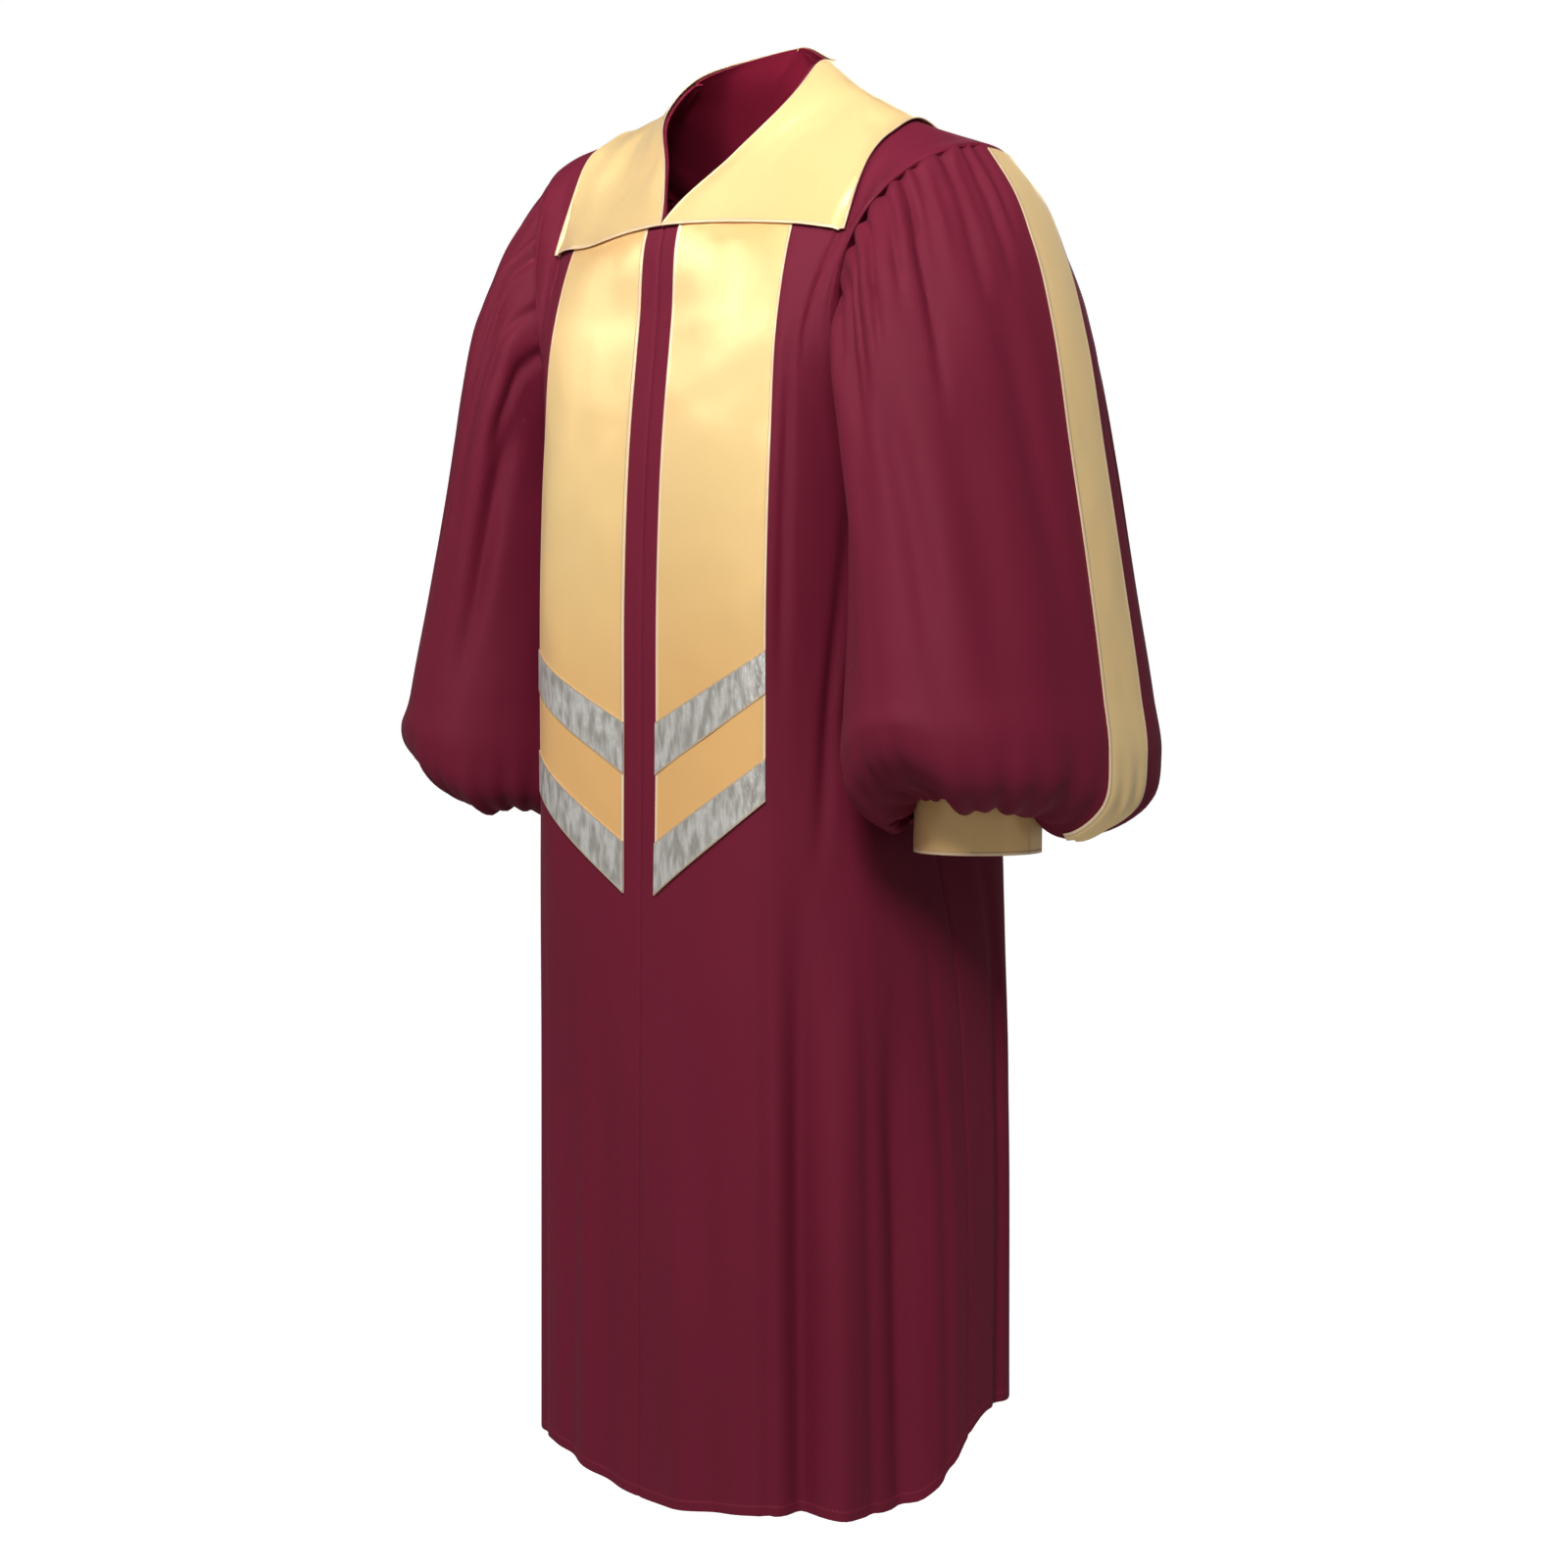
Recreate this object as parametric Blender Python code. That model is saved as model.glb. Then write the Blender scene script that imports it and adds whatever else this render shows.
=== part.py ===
"""Choir robe with full gathered sleeves, held out as it hangs when worn.

Metres, +Z up. The origin is midway between the shoulders, at the height of the neckline's side
points, which is where the wearer carries the robe. The front faces -Y and +X is the wearer's left.
Every piece is a patch of one of two cloth surfaces, the body and the sleeve, each read from a
short table of sections. What is sewn onto a panel uses the panel's own points, moved out.
"""
import bisect
import math

import bmesh
import bpy
import numpy as np

# Cloth walls and the spaces between them
ROBE_WALL = 0.0016
SATIN_WALL = 0.0012
BAND_WALL = 0.0010
SEAM_GAP = 0.0003
LAID_ON_GAP = 0.0004

# Widths measured around the body from the centre line
STRIP_HALF_WIDTH = 0.0185
PANEL_EDGE = 0.134
FLANK = 0.210
SIDE_SEAM = 0.335

# Stole panels: the cloth lengths from the front hem between which they share the front's rows,
# and the heights at a panel's inner and outer edges of its end and of its chevron bands
STOLE_ROWS = (0.80, 1.16)
STOLE_END = (-0.7535, -0.667)
BAND_DEPTH = (0.046, 0.037)
UPPER_BAND_LOWER_EDGE = (-0.648, -0.575)

# Collar: how far down the back it reaches, as cloth length from the front hem
COLLAR_BACK_END = 1.540

# Places along a column at which its height is read
HEIGHT_SAMPLES = 60

# Sleeve stripe: how many of the sleeve's columns it covers, the turn in degrees of its front
# edge, and the cloth lengths from the armhole at which it starts and ends
SLEEVE_COLUMNS = 48
STRIPE_COLUMNS = 3
STRIPE_START_TURN = 3.75
STRIPE_TOP = 0.004
STRIPE_END = 0.645

# Cuff
CUFF_CENTRE = (0.266, -0.045)
CUFF_RADIUS = 0.0545
CUFF_TOP = -0.652
CUFF_BOTTOM = -0.7105
CUFF_GATHERS = 12
CUFF_COLUMNS = 32

# The armhole: its shoulder, front, underarm and back points
ARMHOLE = {
    "shoulder": (0.232, 0.015, -0.100),
    "front": (0.180, -0.125, -0.220),
    "underarm": (0.186, 0.010, -0.350),
    "back": (0.180, 0.136, -0.220),
}

# Sections of the body, from the front hem up over the shoulder and down to the back hem.
# length: cloth from the front hem. neck: 1 where the row starts on the neckline, 0 on the centre
# line. The next three are points of the row. edge: height on the side seam, or turn in degrees
# around the armhole. wrap: how much the row turns towards the side at its outer end.
BODY_COLUMNS = ("name", "length", "neck", "inner", "corner", "flank", "edge", "wrap")
BODY_SECTIONS = (
    ("hem", 0.00, 0, (0, -.186, -1.291), (.134, -.172, -1.274), (.190, -.112, -1.272), -1.272, 1),
    ("calf", 0.30, 0, (0, -.184, -.990), (.134, -.171, -.986), (.187, -.110, -.980), -0.965, 1),
    ("hip", 0.56, 0, (0, -.182, -.735), (.134, -.170, -.730), (.180, -.112, -.725), -0.715, 1),
    ("loin", 0.68, 0, (0, -.181, -.612), (.134, -.170, -.610), (.168, -.118, -.607), -0.600, 1),
    ("waist", 0.80, 0, (0, -.180, -.490), (.134, -.169, -.489), (.164, -.120, -.487), -0.485, 1),
    ("underarm", 0.93, 0, (0, -.173, -.360), (.134, -.163, -.358), (.162, -.124, -.356), -0.35, 1),
    ("bust", 1.04, 0, (0, -.160, -.250), (.133, -.152, -.252), (.162, -.136, -.255), 110, .5),
    ("chest", 1.12, 0, (0, -.150, -.168), (.128, -.127, -.176), (.169, -.106, -.182), 68, .3),
    ("throat", 1.20, 1, (.0396, -.102, -.104), (.119, -.085, -.112), (.171, -.072, -.116), 36, .1),
    ("collar", 1.27, 1, (.074, -.064, -.052), (.124, -.051, -.076), (.171, -.040, -.091), 15, 0),
    ("shoulder", 1.33, 1, (.074, -.025, -.014), (.124, -.014, -.047), (.171, -.004, -.075), 0, 0),
    ("nape", 1.39, 1, (.056, .018, .008), (.121, .030, -.052), (.171, .036, -.088), -18, 0),
    ("neck back", 1.45, 1, (.0, .036, .018), (.117, .070, -.072), (.171, .076, -.110), -40, .1),
    ("blade", 1.54, 0, (0, .100, -.112), (.122, .110, -.130), (.169, .112, -.150), -64, .3),
    ("back bust", 1.64, 0, (0, .128, -.180), (.128, .134, -.235), (.163, .134, -.250), -108, .5),
    ("back underarm", 1.78, 0, (0, .156, -.340), (.130, .144, -.355), (.164, .118, -.356), -0.35, 1),
    ("small", 1.92, 0, (0, .164, -.480), (.130, .148, -.486), (.164, .118, -.487), -0.485, 1),
    ("seat", 2.05, 0, (0, .170, -.605), (.131, .150, -.606), (.168, .116, -.605), -0.600, 1),
    ("thigh", 2.17, 0, (0, .176, -.725), (.132, .153, -.722), (.182, .112, -.720), -0.715, 1),
    ("back calf", 2.42, 0, (0, .184, -.965), (.133, .156, -.960), (.187, .108, -.954), -0.965, 1),
    ("back hem", 2.75, 0, (0, .188, -1.290), (.134, .158, -1.276), (.189, .107, -1.272), -1.272, 1),
)

# The side seam from the hem up to the underarm: height, half width, depth
SIDE_SEAM_SHAPE = (
    (-1.275, 0.223, 0.004),
    (-0.965, 0.218, 0.004),
    (-0.800, 0.204, 0.004),
    (-0.715, 0.184, 0.004),
    (-0.600, 0.170, 0.004),
    (-0.485, 0.170, 0.005),
    (-0.400, 0.175, 0.008),
    (-0.350, 0.186, 0.010),
)

# Rows of facets between named sections. The front's and the back's meet in the side seam at the
# same heights.
FRONT_ROWS = ("hem", 3, "calf", 3, "hip", 1, "loin", 1, "waist", 2, "underarm", 5, "chest")
BACK_ROWS = ("back underarm", 2, "small", 1, "seat", 1, "thigh", 3, "back calf", 3, "back hem")
SLEEVE_ROWS = ("cap", 2, "head", 2, "upper", 3, "elbow", 2, "full", 2, "roll", 3, "gathers", 1, "cuff")

# Sections of the sleeve, from the armhole to the cuff: cloth length from the armhole on the
# outer line, then the section's outer, front, inner and back points
SLEEVE_COLUMN_NAMES = ("name", "length", "outer", "front", "inner", "back")
SLEEVE_SECTIONS = (
    ("cap", .030, (.256, .018, -.134), (.197, -.146, -.235), (.1905, .010, -.366), (.194, .143, -.235)),
    ("head", .090, (.284, .014, -.187), (.213, -.162, -.275), (.191, .008, -.392), (.210, .140, -.275)),
    ("upper", .180, (.310, .008, -.262), (.230, -.170, -.335), (.189, .002, -.430), (.232, .130, -.335)),
    ("arm", .290, (.332, .004, -.370), (.247, -.174, -.420), (.187, -.006, -.485), (.249, .130, -.420)),
    ("elbow", .400, (.354, .000, -.478), (.261, -.182, -.505), (.184, -.012, -.545), (.261, .132, -.505)),
    ("full", .500, (.372, -.004, -.575), (.272, -.193, -.585), (.182, -.018, -.600), (.271, .140, -.585)),
    ("widest", .550, (.381, -.008, -.625), (.276, -.197, -.632), (.182, -.022, -.637), (.276, .142, -.630)),
    ("roll", .595, (.378, -.014, -.668), (.276, -.186, -.672), (.190, -.028, -.670), (.276, .126, -.668)),
    ("under", .635, (.352, -.028, -.690), (.272, -.150, -.692), (.206, -.038, -.686), (.270, .072, -.686)),
    ("gathers", .675, (.329, -.04, -.678), (.267, -.114, -.678), (.204, -.043, -.676), (.267, .022, -.676)),
    ("cuff", .705, (.3225, -.045, -.656), (.266, -.1015, -.656), (.2095, -.045, -.656), (.266, .0115, -.656))
)
SLEEVE_SQUARENESS = 0.022
# Cloth lengths between which the sleeve's round section turns squarer
SQUARER = (0.05, 0.30)
# The sleeve stands off the armhole seam, most under the arm, where the two walls lie back to
# back: at the shoulder, under the arm, and the cloth length at which it no longer does
HEAD_STAND_OFF = (0.0006, 0.0030)
STAND_OFF_LENGTH = 0.06

# Long soft folds of the body. around: metres from the centre front at the hem, positive to the
# wearer's left. spread: half width. depth: out is positive. top: the height about which the fold
# runs out.
BODY_FOLDS = (
    ("left hollow", 0.164, 0.014, -0.009, -0.80),
    ("left ridge", 0.200, 0.018, 0.008, -0.85),
    ("left side hollow", 0.249, 0.019, -0.008, -0.88),
    ("left side ridge", 0.300, 0.022, 0.005, -0.90),
    ("right hollow", -0.182, 0.017, -0.008, -0.85),
    ("right ridge", -0.226, 0.020, 0.007, -0.80),
    ("right side hollow", -0.276, 0.021, -0.008, -0.90),
    ("right side ridge", -0.322, 0.022, 0.005, -0.86),
    ("back left ridge", 0.415, 0.026, 0.006, -0.82),
    ("back left hollow", 0.475, 0.026, -0.009, -0.75),
    ("back left flute", 0.540, 0.028, 0.006, -0.70),
    ("back hollow", 0.610, 0.026, -0.008, -0.60),
    ("back right flute", -0.600, 0.028, 0.007, -0.62),
    ("back right hollow", -0.535, 0.026, -0.008, -0.72),
    ("back right ridge", -0.465, 0.028, 0.007, -0.78),
    ("back right side hollow", -0.405, 0.024, -0.007, -0.84),
)
FOLD_FADE = 0.22

# Soft folds of the sleeve. turn: degrees around, forwards from the outer line. spread: half
# width in degrees. depth: out is positive. start and end: cloth length at which the fold is
# deepest and at which it has run out.
SLEEVE_FOLDS = (
    ("head gather 1", 21, 5, -0.006, 0.03, 0.11),
    ("head gather 2", 33, 5, -0.006, 0.03, 0.14),
    ("head gather 3", 46, 6, -0.008, 0.04, 0.26),
    ("head gather 4", 61, 6, -0.006, 0.03, 0.12),
    ("front edge fold", 88, 7, -0.010, 0.05, 0.36),
    ("front edge roll", 103, 8, 0.006, 0.06, 0.42),
    ("head gather 5", -34, 6, -0.006, 0.03, 0.14),
    ("head gather 6", -50, 6, -0.006, 0.03, 0.24),
    ("head gather 7", -66, 6, -0.006, 0.03, 0.12),
    ("back edge fold", -84, 7, -0.009, 0.05, 0.34),
)
# Lobes that the full sleeve makes as it rolls under: turn, spread in degrees, drop
SLEEVE_LOBES = (
    ("front lobe", 62, 20, 0.006),
    ("middle lobe", 24, 16, 0.004),
    ("stripe lobe", -8, 14, 0.008),
    ("back lobe", -58, 22, 0.007),
    ("inner lobe", 150, 26, 0.003),
)
# Tucks that draw the left sleeve up in front as it rolls under, in the same columns
LEFT_TUCKS = (
    ("front tuck", 84, 34, -0.047),
    ("outer tuck", 28, 22, -0.021),
)
LOBE_START = 0.47
CUFF_GATHER_DEPTH = 0.0035
GATHER_START = 0.52

# How the worn robe sits unevenly. The wearer's right shoulder stands a little higher, the neckline
# drops behind the left side of the neck, the hem dips to the left and rides up at the back, and the
# right sleeve stands out at its head, hangs closer below and rolls under higher, its cuff drawn up.
# Each pair gives where its move begins and where it is whole.
RIGHT_SHOULDER_RISE = 0.036
SHOULDER_RISE_ACROSS = (0.09, 0.21)
SHOULDER_RISE_HEIGHT = (-0.34, -0.10)
LEFT_NAPE_DROP = 0.013
NAPE_DROP_DEPTH = (-0.035, 0.015)
NAPE_DROP_HEIGHT = (-0.16, -0.08)
NAPE_DROP_ACROSS = (0.0, 0.05)
NAPE_DROP_END = (0.08, 0.20)
HEM_DIP = 0.085
BACK_HEM_RISE = 0.070
BACK_HEM_DEPTH = (-0.08, 0.04)
HEM_HEIGHT = (-1.25, -0.85)
RIGHT_SLEEVE_LEAN = 0.009
SLEEVE_LEAN_ACROSS = (0.22, 0.30)
SLEEVE_LEAN_HEIGHT = (-0.34, -0.16)
RIGHT_ROLL_RISE = 0.055
ROLL_RISE_TURN = 35
ROLL_RISE_LENGTH = (0.50, 0.60)
ROLL_RISE_END = (0.62, 0.705)
RIGHT_CUFF_RISE = 0.046
CUFF_RISE_LENGTH = (0.635, 0.705)

MAROON = (0.150, 0.012, 0.026, 1.0)
GOLD = (0.900, 0.600, 0.215, 1.0)
SILVER = (0.620, 0.600, 0.570, 1.0)


def column(table, names, name):
    """One named column of a table, as an array."""
    position = names.index(name)
    return np.array([row[position] for row in table], float)


def smooth_step(low, high, value):
    """0 below low, 1 above high, and a soft rise between."""
    share = min(max((value - low) / (high - low), 0.0), 1.0)
    return share * share * (3.0 - 2.0 * share)


def hermite(start, end, start_slope, end_slope, width, share):
    """A point between two points, on a cubic with the given slopes."""
    square = share * share
    cube = square * share
    point = (2 * cube - 3 * square + 1) * start + (3 * square - 2 * cube) * end
    return point + width * ((cube - 2 * square + share) * start_slope + (cube - square) * end_slope)


class Curve:
    """A smooth curve through values, one for each knot."""

    def __init__(self, knots, values):
        self.knots = [float(knot) for knot in knots]
        self.values = np.array(values, float)
        self.slopes = np.gradient(self.values, self.knots, axis=0)

    def __call__(self, at):
        index = min(max(bisect.bisect_right(self.knots, at) - 1, 0), len(self.knots) - 2)
        width = self.knots[index + 1] - self.knots[index]
        share = (at - self.knots[index]) / width
        ends = self.values[index], self.values[index + 1]
        return hermite(*ends, self.slopes[index], self.slopes[index + 1], width, share)


def four_point_ring(outer, front, inner, back, turn):
    """A closed ring through four points a quarter turn apart, read at a turn in degrees."""
    angle = math.radians(turn)
    centre = (outer + front + inner + back) / 4
    second = (outer - front + inner - back) / 4
    ring = centre + (outer - inner) / 2 * math.cos(angle) + (front - back) / 2 * math.sin(angle)
    return ring + second * math.cos(2 * angle), centre


BODY_LENGTH = column(BODY_SECTIONS, BODY_COLUMNS, "length")
BODY_NECK = column(BODY_SECTIONS, BODY_COLUMNS, "neck")
BODY_POINTS = [
    Curve(BODY_LENGTH, column(BODY_SECTIONS, BODY_COLUMNS, name)) for name in ("inner", "corner", "flank")
]
BODY_EDGE = column(BODY_SECTIONS, BODY_COLUMNS, "edge")
BODY_WRAP = column(BODY_SECTIONS, BODY_COLUMNS, "wrap")
BODY_AT = {row[0]: row[1] for row in BODY_SECTIONS}
BODY_ROWS = list(BODY_AT)
FRONT_UNDERARM = BODY_ROWS.index("underarm")
BACK_UNDERARM = BODY_ROWS.index("back underarm")
AROUND = (0.0, PANEL_EDGE, FLANK, SIDE_SEAM)
SIDE_CURVE = Curve([row[0] for row in SIDE_SEAM_SHAPE], [row[1:] for row in SIDE_SEAM_SHAPE])
ARMHOLE_POINTS = [np.array(ARMHOLE[name]) for name in ("shoulder", "front", "underarm", "back")]


def armhole(turn):
    """The armhole seam: 0 is the shoulder, 90 the front, 180 the underarm, -90 the back."""
    return four_point_ring(*ARMHOLE_POINTS, turn)[0]


def body_edge(length):
    """The outer edge of a body panel: the side seam below the underarm, the armhole above it."""
    front_end = BODY_LENGTH[FRONT_UNDERARM]
    back_end = BODY_LENGTH[BACK_UNDERARM]
    if front_end < length < back_end:
        turns = BODY_EDGE.copy()
        turns[FRONT_UNDERARM] = 180.0
        turns[BACK_UNDERARM] = -180.0
        inside = slice(FRONT_UNDERARM, BACK_UNDERARM + 1)
        return armhole(float(np.interp(length, BODY_LENGTH[inside], turns[inside])))
    if length <= front_end:
        inside = slice(0, FRONT_UNDERARM + 1)
    else:
        inside = slice(BACK_UNDERARM, None)
    height = float(np.interp(length, BODY_LENGTH[inside], BODY_EDGE[inside]))
    half_width, depth = SIDE_CURVE(height)
    return np.array((half_width, depth, height))


def plain_body(around, length):
    """The body's cloth before its folds, on the wearer's left."""
    inner, corner, flank = (curve(length) for curve in BODY_POINTS)
    inner[0] = max(inner[0], 0.0)
    edge = body_edge(length)
    neck = float(np.interp(length, BODY_LENGTH, BODY_NECK))
    wrap = float(np.interp(length, BODY_LENGTH, BODY_WRAP))
    direction = 1.0 if length < BODY_AT["shoulder"] else -1.0
    stations = (inner, corner, flank, edge)
    widths = (PANEL_EDGE, FLANK - PANEL_EDGE, SIDE_SEAM - FLANK)
    chords = [(after - before) / width for before, after, width in zip(stations, stations[1:], widths)]
    slopes = (
        chords[0] * neck + np.array((chords[0][0], 0, 0)) * (1 - neck),
        (chords[0] * widths[1] + chords[1] * widths[0]) / (widths[0] + widths[1]),
        (chords[1] * widths[2] + chords[2] * widths[1]) / (widths[1] + widths[2]),
        chords[2] * (1 - wrap) + np.array((0, direction, 0)) * wrap,
    )
    index = max(min(bisect.bisect_right(AROUND, around) - 1, 2), 0)
    width = widths[index]
    share = (around - AROUND[index]) / width
    return hermite(*stations[index:index + 2], *slopes[index:index + 2], width, share)


def normal_of(surface, first, second, first_limits, second_limits):
    """The outward normal of a surface, from its two directions at a point."""
    step = 0.0005
    low = surface(max(first - step, first_limits[0]), second)
    high = surface(min(first + step, first_limits[1]), second)
    before = surface(first, max(second - step, second_limits[0]))
    after = surface(first, min(second + step, second_limits[1]))
    normal = np.cross(high - low, after - before)
    return normal / np.linalg.norm(normal)


def settle(point, side):
    """Move a point of the even robe, on one side of the wearer, to where the worn robe has it."""
    point = point * np.array((side, 1.0, 1.0))
    if side < 0:
        beside = smooth_step(*SHOULDER_RISE_ACROSS, -point[0])
        point[2] += RIGHT_SHOULDER_RISE * beside * smooth_step(*SHOULDER_RISE_HEIGHT, point[2])
        lean = RIGHT_SLEEVE_LEAN * smooth_step(*SLEEVE_LEAN_ACROSS, -point[0])
        point[0] += lean * (1 - 2 * smooth_step(*SLEEVE_LEAN_HEIGHT, point[2]))
    else:
        behind = smooth_step(*NAPE_DROP_DEPTH, point[1]) * smooth_step(*NAPE_DROP_HEIGHT, point[2])
        beside = smooth_step(*NAPE_DROP_ACROSS, point[0]) * (1 - smooth_step(*NAPE_DROP_END, point[0]))
        point[2] -= LEFT_NAPE_DROP * behind * beside
    low = 1 - smooth_step(*HEM_HEIGHT, point[2])
    point[2] += low * (BACK_HEM_RISE * smooth_step(*BACK_HEM_DEPTH, point[1]) - HEM_DIP * point[0])
    return point


def body_fold(around, length, height, side):
    """How far the folds push the body's cloth out at one place."""
    full_circle = 4 * SIDE_SEAM
    place = around if length < BODY_AT["shoulder"] else 2 * SIDE_SEAM - around
    place *= side
    total = 0.0
    for _, centre, spread, depth, top in BODY_FOLDS:
        away = (place - centre + full_circle / 2) % full_circle - full_circle / 2
        strength = 1.0 - smooth_step(top - FOLD_FADE / 2, top + FOLD_FADE / 2, height)
        total += depth * strength * math.exp(-(away / spread) ** 2)
    return total


BODY_LIMITS = (float(BODY_LENGTH[0]), float(BODY_LENGTH[-1]))


def body_frame(around, length, side):
    """The point and outward normal of the finished body cloth, on one side of the wearer."""
    def folded(here, there):
        point = plain_body(here, there)
        normal = normal_of(plain_body, here, there, (0.0, SIDE_SEAM), BODY_LIMITS)
        return settle(point + normal * body_fold(here, there, point[2], side), side)

    return folded(around, length), side * normal_of(folded, around, length, (0.0, SIDE_SEAM), BODY_LIMITS)


SLEEVE_LENGTH = np.array([0.0] + [row[1] for row in SLEEVE_SECTIONS])
SLEEVE_POINTS = [
    Curve(SLEEVE_LENGTH, [start] + [row[position] for row in SLEEVE_SECTIONS])
    for start, position in zip(ARMHOLE_POINTS, map(SLEEVE_COLUMN_NAMES.index, SLEEVE_COLUMN_NAMES[2:]))
]
SLEEVE_AT = {row[0]: row[1] for row in SLEEVE_SECTIONS}


def plain_sleeve(turn, length):
    """The sleeve's cloth before its folds, on the wearer's left."""
    points = [curve(length) for curve in SLEEVE_POINTS]
    ring, centre = four_point_ring(*points, turn)
    rounder = smooth_step(SLEEVE_AT["roll"], SLEEVE_AT["gathers"], length)
    square = smooth_step(*SQUARER, length) * (1 - rounder)
    swell = 1 + SLEEVE_SQUARENESS * square * (1 - math.cos(4 * math.radians(turn)))
    point = centre + (ring - centre) * swell
    under_share = (1 - math.cos(math.radians(turn))) / 2
    stand_off = HEAD_STAND_OFF[0] + (HEAD_STAND_OFF[1] - HEAD_STAND_OFF[0]) * under_share
    point[0] += stand_off * (1 - smooth_step(0.0, STAND_OFF_LENGTH, length))
    return point


def sleeve_fold(turn, length, side):
    """How far the folds and gathers push the sleeve's cloth out, and how far its lobes hang."""
    total = 0.0
    for _, centre, spread, depth, start, end in SLEEVE_FOLDS:
        away = (turn - centre + 180) % 360 - 180
        strength = smooth_step(0.0, start, length) * (1 - smooth_step(start, end, length))
        total += depth * strength * math.exp(-(away / spread) ** 2)
    gathered = smooth_step(GATHER_START, SLEEVE_AT["gathers"], length)
    gathered *= 1 - smooth_step(SLEEVE_AT["gathers"], SLEEVE_AT["cuff"], length)
    total += CUFF_GATHER_DEPTH * gathered * math.cos(CUFF_GATHERS * math.radians(turn))
    drop = 0.0
    for _, centre, spread, depth in SLEEVE_LOBES + (LEFT_TUCKS if side > 0 else ()):
        away = (turn - centre + 180) % 360 - 180
        reach = smooth_step(LOBE_START, SLEEVE_AT["roll"], length)
        reach *= 1 - smooth_step(SLEEVE_AT["under"], SLEEVE_AT["cuff"], length)
        drop += depth * reach * math.exp(-(away / spread) ** 2)
    return total, drop


SLEEVE_LIMITS = (0.0, SLEEVE_AT["cuff"])
ANY_TURN = (-1000.0, 1000.0)


def sleeve_frame(turn, length, side):
    """The point and outward normal of the finished sleeve cloth, on one side of the wearer."""
    def folded(here, there):
        point = plain_sleeve(here, there)
        normal = normal_of(plain_sleeve, here, there, ANY_TURN, SLEEVE_LIMITS)
        out, drop = sleeve_fold(here, there, side)
        point = point + normal * out
        point[2] -= drop
        if side < 0:
            outer_share = max(math.cos(math.radians(here - ROLL_RISE_TURN)), 0.0) ** 2
            roll = smooth_step(*ROLL_RISE_LENGTH, there) * (1 - smooth_step(*ROLL_RISE_END, there))
            point[2] += RIGHT_ROLL_RISE * outer_share * roll
            point[2] += RIGHT_CUFF_RISE * smooth_step(*CUFF_RISE_LENGTH, there)
        return settle(point, side)

    return folded(turn, length), side * normal_of(folded, turn, length, ANY_TURN, SLEEVE_LIMITS)


def cloth_material(name, colour, roughness, sheen):
    """A cloth material with a plain colour."""
    material = bpy.data.materials.new(name)
    material.use_nodes = True
    shader = material.node_tree.nodes["Principled BSDF"]
    shader.inputs["Base Color"].default_value = colour
    shader.inputs["Roughness"].default_value = roughness
    shader.inputs["Metallic"].default_value = 0.0
    shader.inputs["Sheen Weight"].default_value = sheen
    material.diffuse_color = colour
    return material


def sew(name, patches, low, high, material, wraps=False):
    """Make one closed wall from grids of (point, normal), between two distances out.

    Grids that share points are joined there. A grid that wraps has its last column joined
    to its first. Every cell is split along the same diagonal, so that what is laid on a panel
    follows its facets.
    """
    mesh = bmesh.new()
    layers = {}

    def fill(quad):
        mesh.faces.new(quad[:3])
        mesh.faces.new((quad[0], quad[2], quad[3]))

    def corner(frame):
        point, normal = frame
        key = tuple(np.round(point, 6))
        if key not in layers:
            layers[key] = (mesh.verts.new(point + normal * high), mesh.verts.new(point + normal * low))
        return layers[key]

    edges = {}
    for grid in patches:
        corners = [[corner(frame) for frame in row] for row in grid]
        columns = len(corners[0])
        for lower, upper in zip(corners, corners[1:]):
            for index in range(columns if wraps else columns - 1):
                following = (index + 1) % columns
                quad = [lower[index], lower[following], upper[following], upper[index]]
                fill([pair[0] for pair in quad])
                fill([pair[1] for pair in quad])
                for start, end in zip(quad, quad[1:] + quad[:1]):
                    pair_key = frozenset((start[0], end[0]))
                    edges[pair_key] = None if pair_key in edges else (start, end)
    for rim in edges.values():
        if rim:
            start, end = rim
            fill([end[0], start[0], start[1], end[1]])
    bmesh.ops.recalc_face_normals(mesh, faces=mesh.faces)
    data = bpy.data.meshes.new(name)
    mesh.to_mesh(data)
    mesh.free()
    data.shade_smooth()
    data.set_sharp_from_angle(angle=math.radians(50))
    data.materials.append(material)
    piece = bpy.data.objects.new(name, data)
    robe.objects.link(piece)
    return piece


def steps(*stops):
    """Places from stop to stop: (start, count, stop, count, stop ...) shared out evenly."""
    places = [stops[0]]
    for count, stop in zip(stops[1::2], stops[2::2]):
        start = places[-1]
        places += [start + (stop - start) * (index + 1) / count for index in range(count)]
    return places


def rows(lengths, *stops):
    """The same between named sections: (section, count, section ...)."""
    return steps(*[lengths[stop] if isinstance(stop, str) else stop for stop in stops])


def body_patch(arounds, lengths, side):
    """A grid of the body's cloth."""
    return [[body_frame(around, length, side) for around in arounds] for length in lengths]


def sleeve_patch(turns, lengths, side):
    """A grid of the sleeve's cloth."""
    return [[sleeve_frame(turn, length, side) for turn in turns] for length in lengths]


def length_at_height(around, height):
    """The cloth length from the front hem at which a column of the front is at a height."""
    lengths = np.linspace(0.0, BODY_AT["throat"], HEIGHT_SAMPLES)
    heights = [plain_body(around, length)[2] for length in lengths]
    return float(np.interp(height, heights, lengths))


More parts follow.
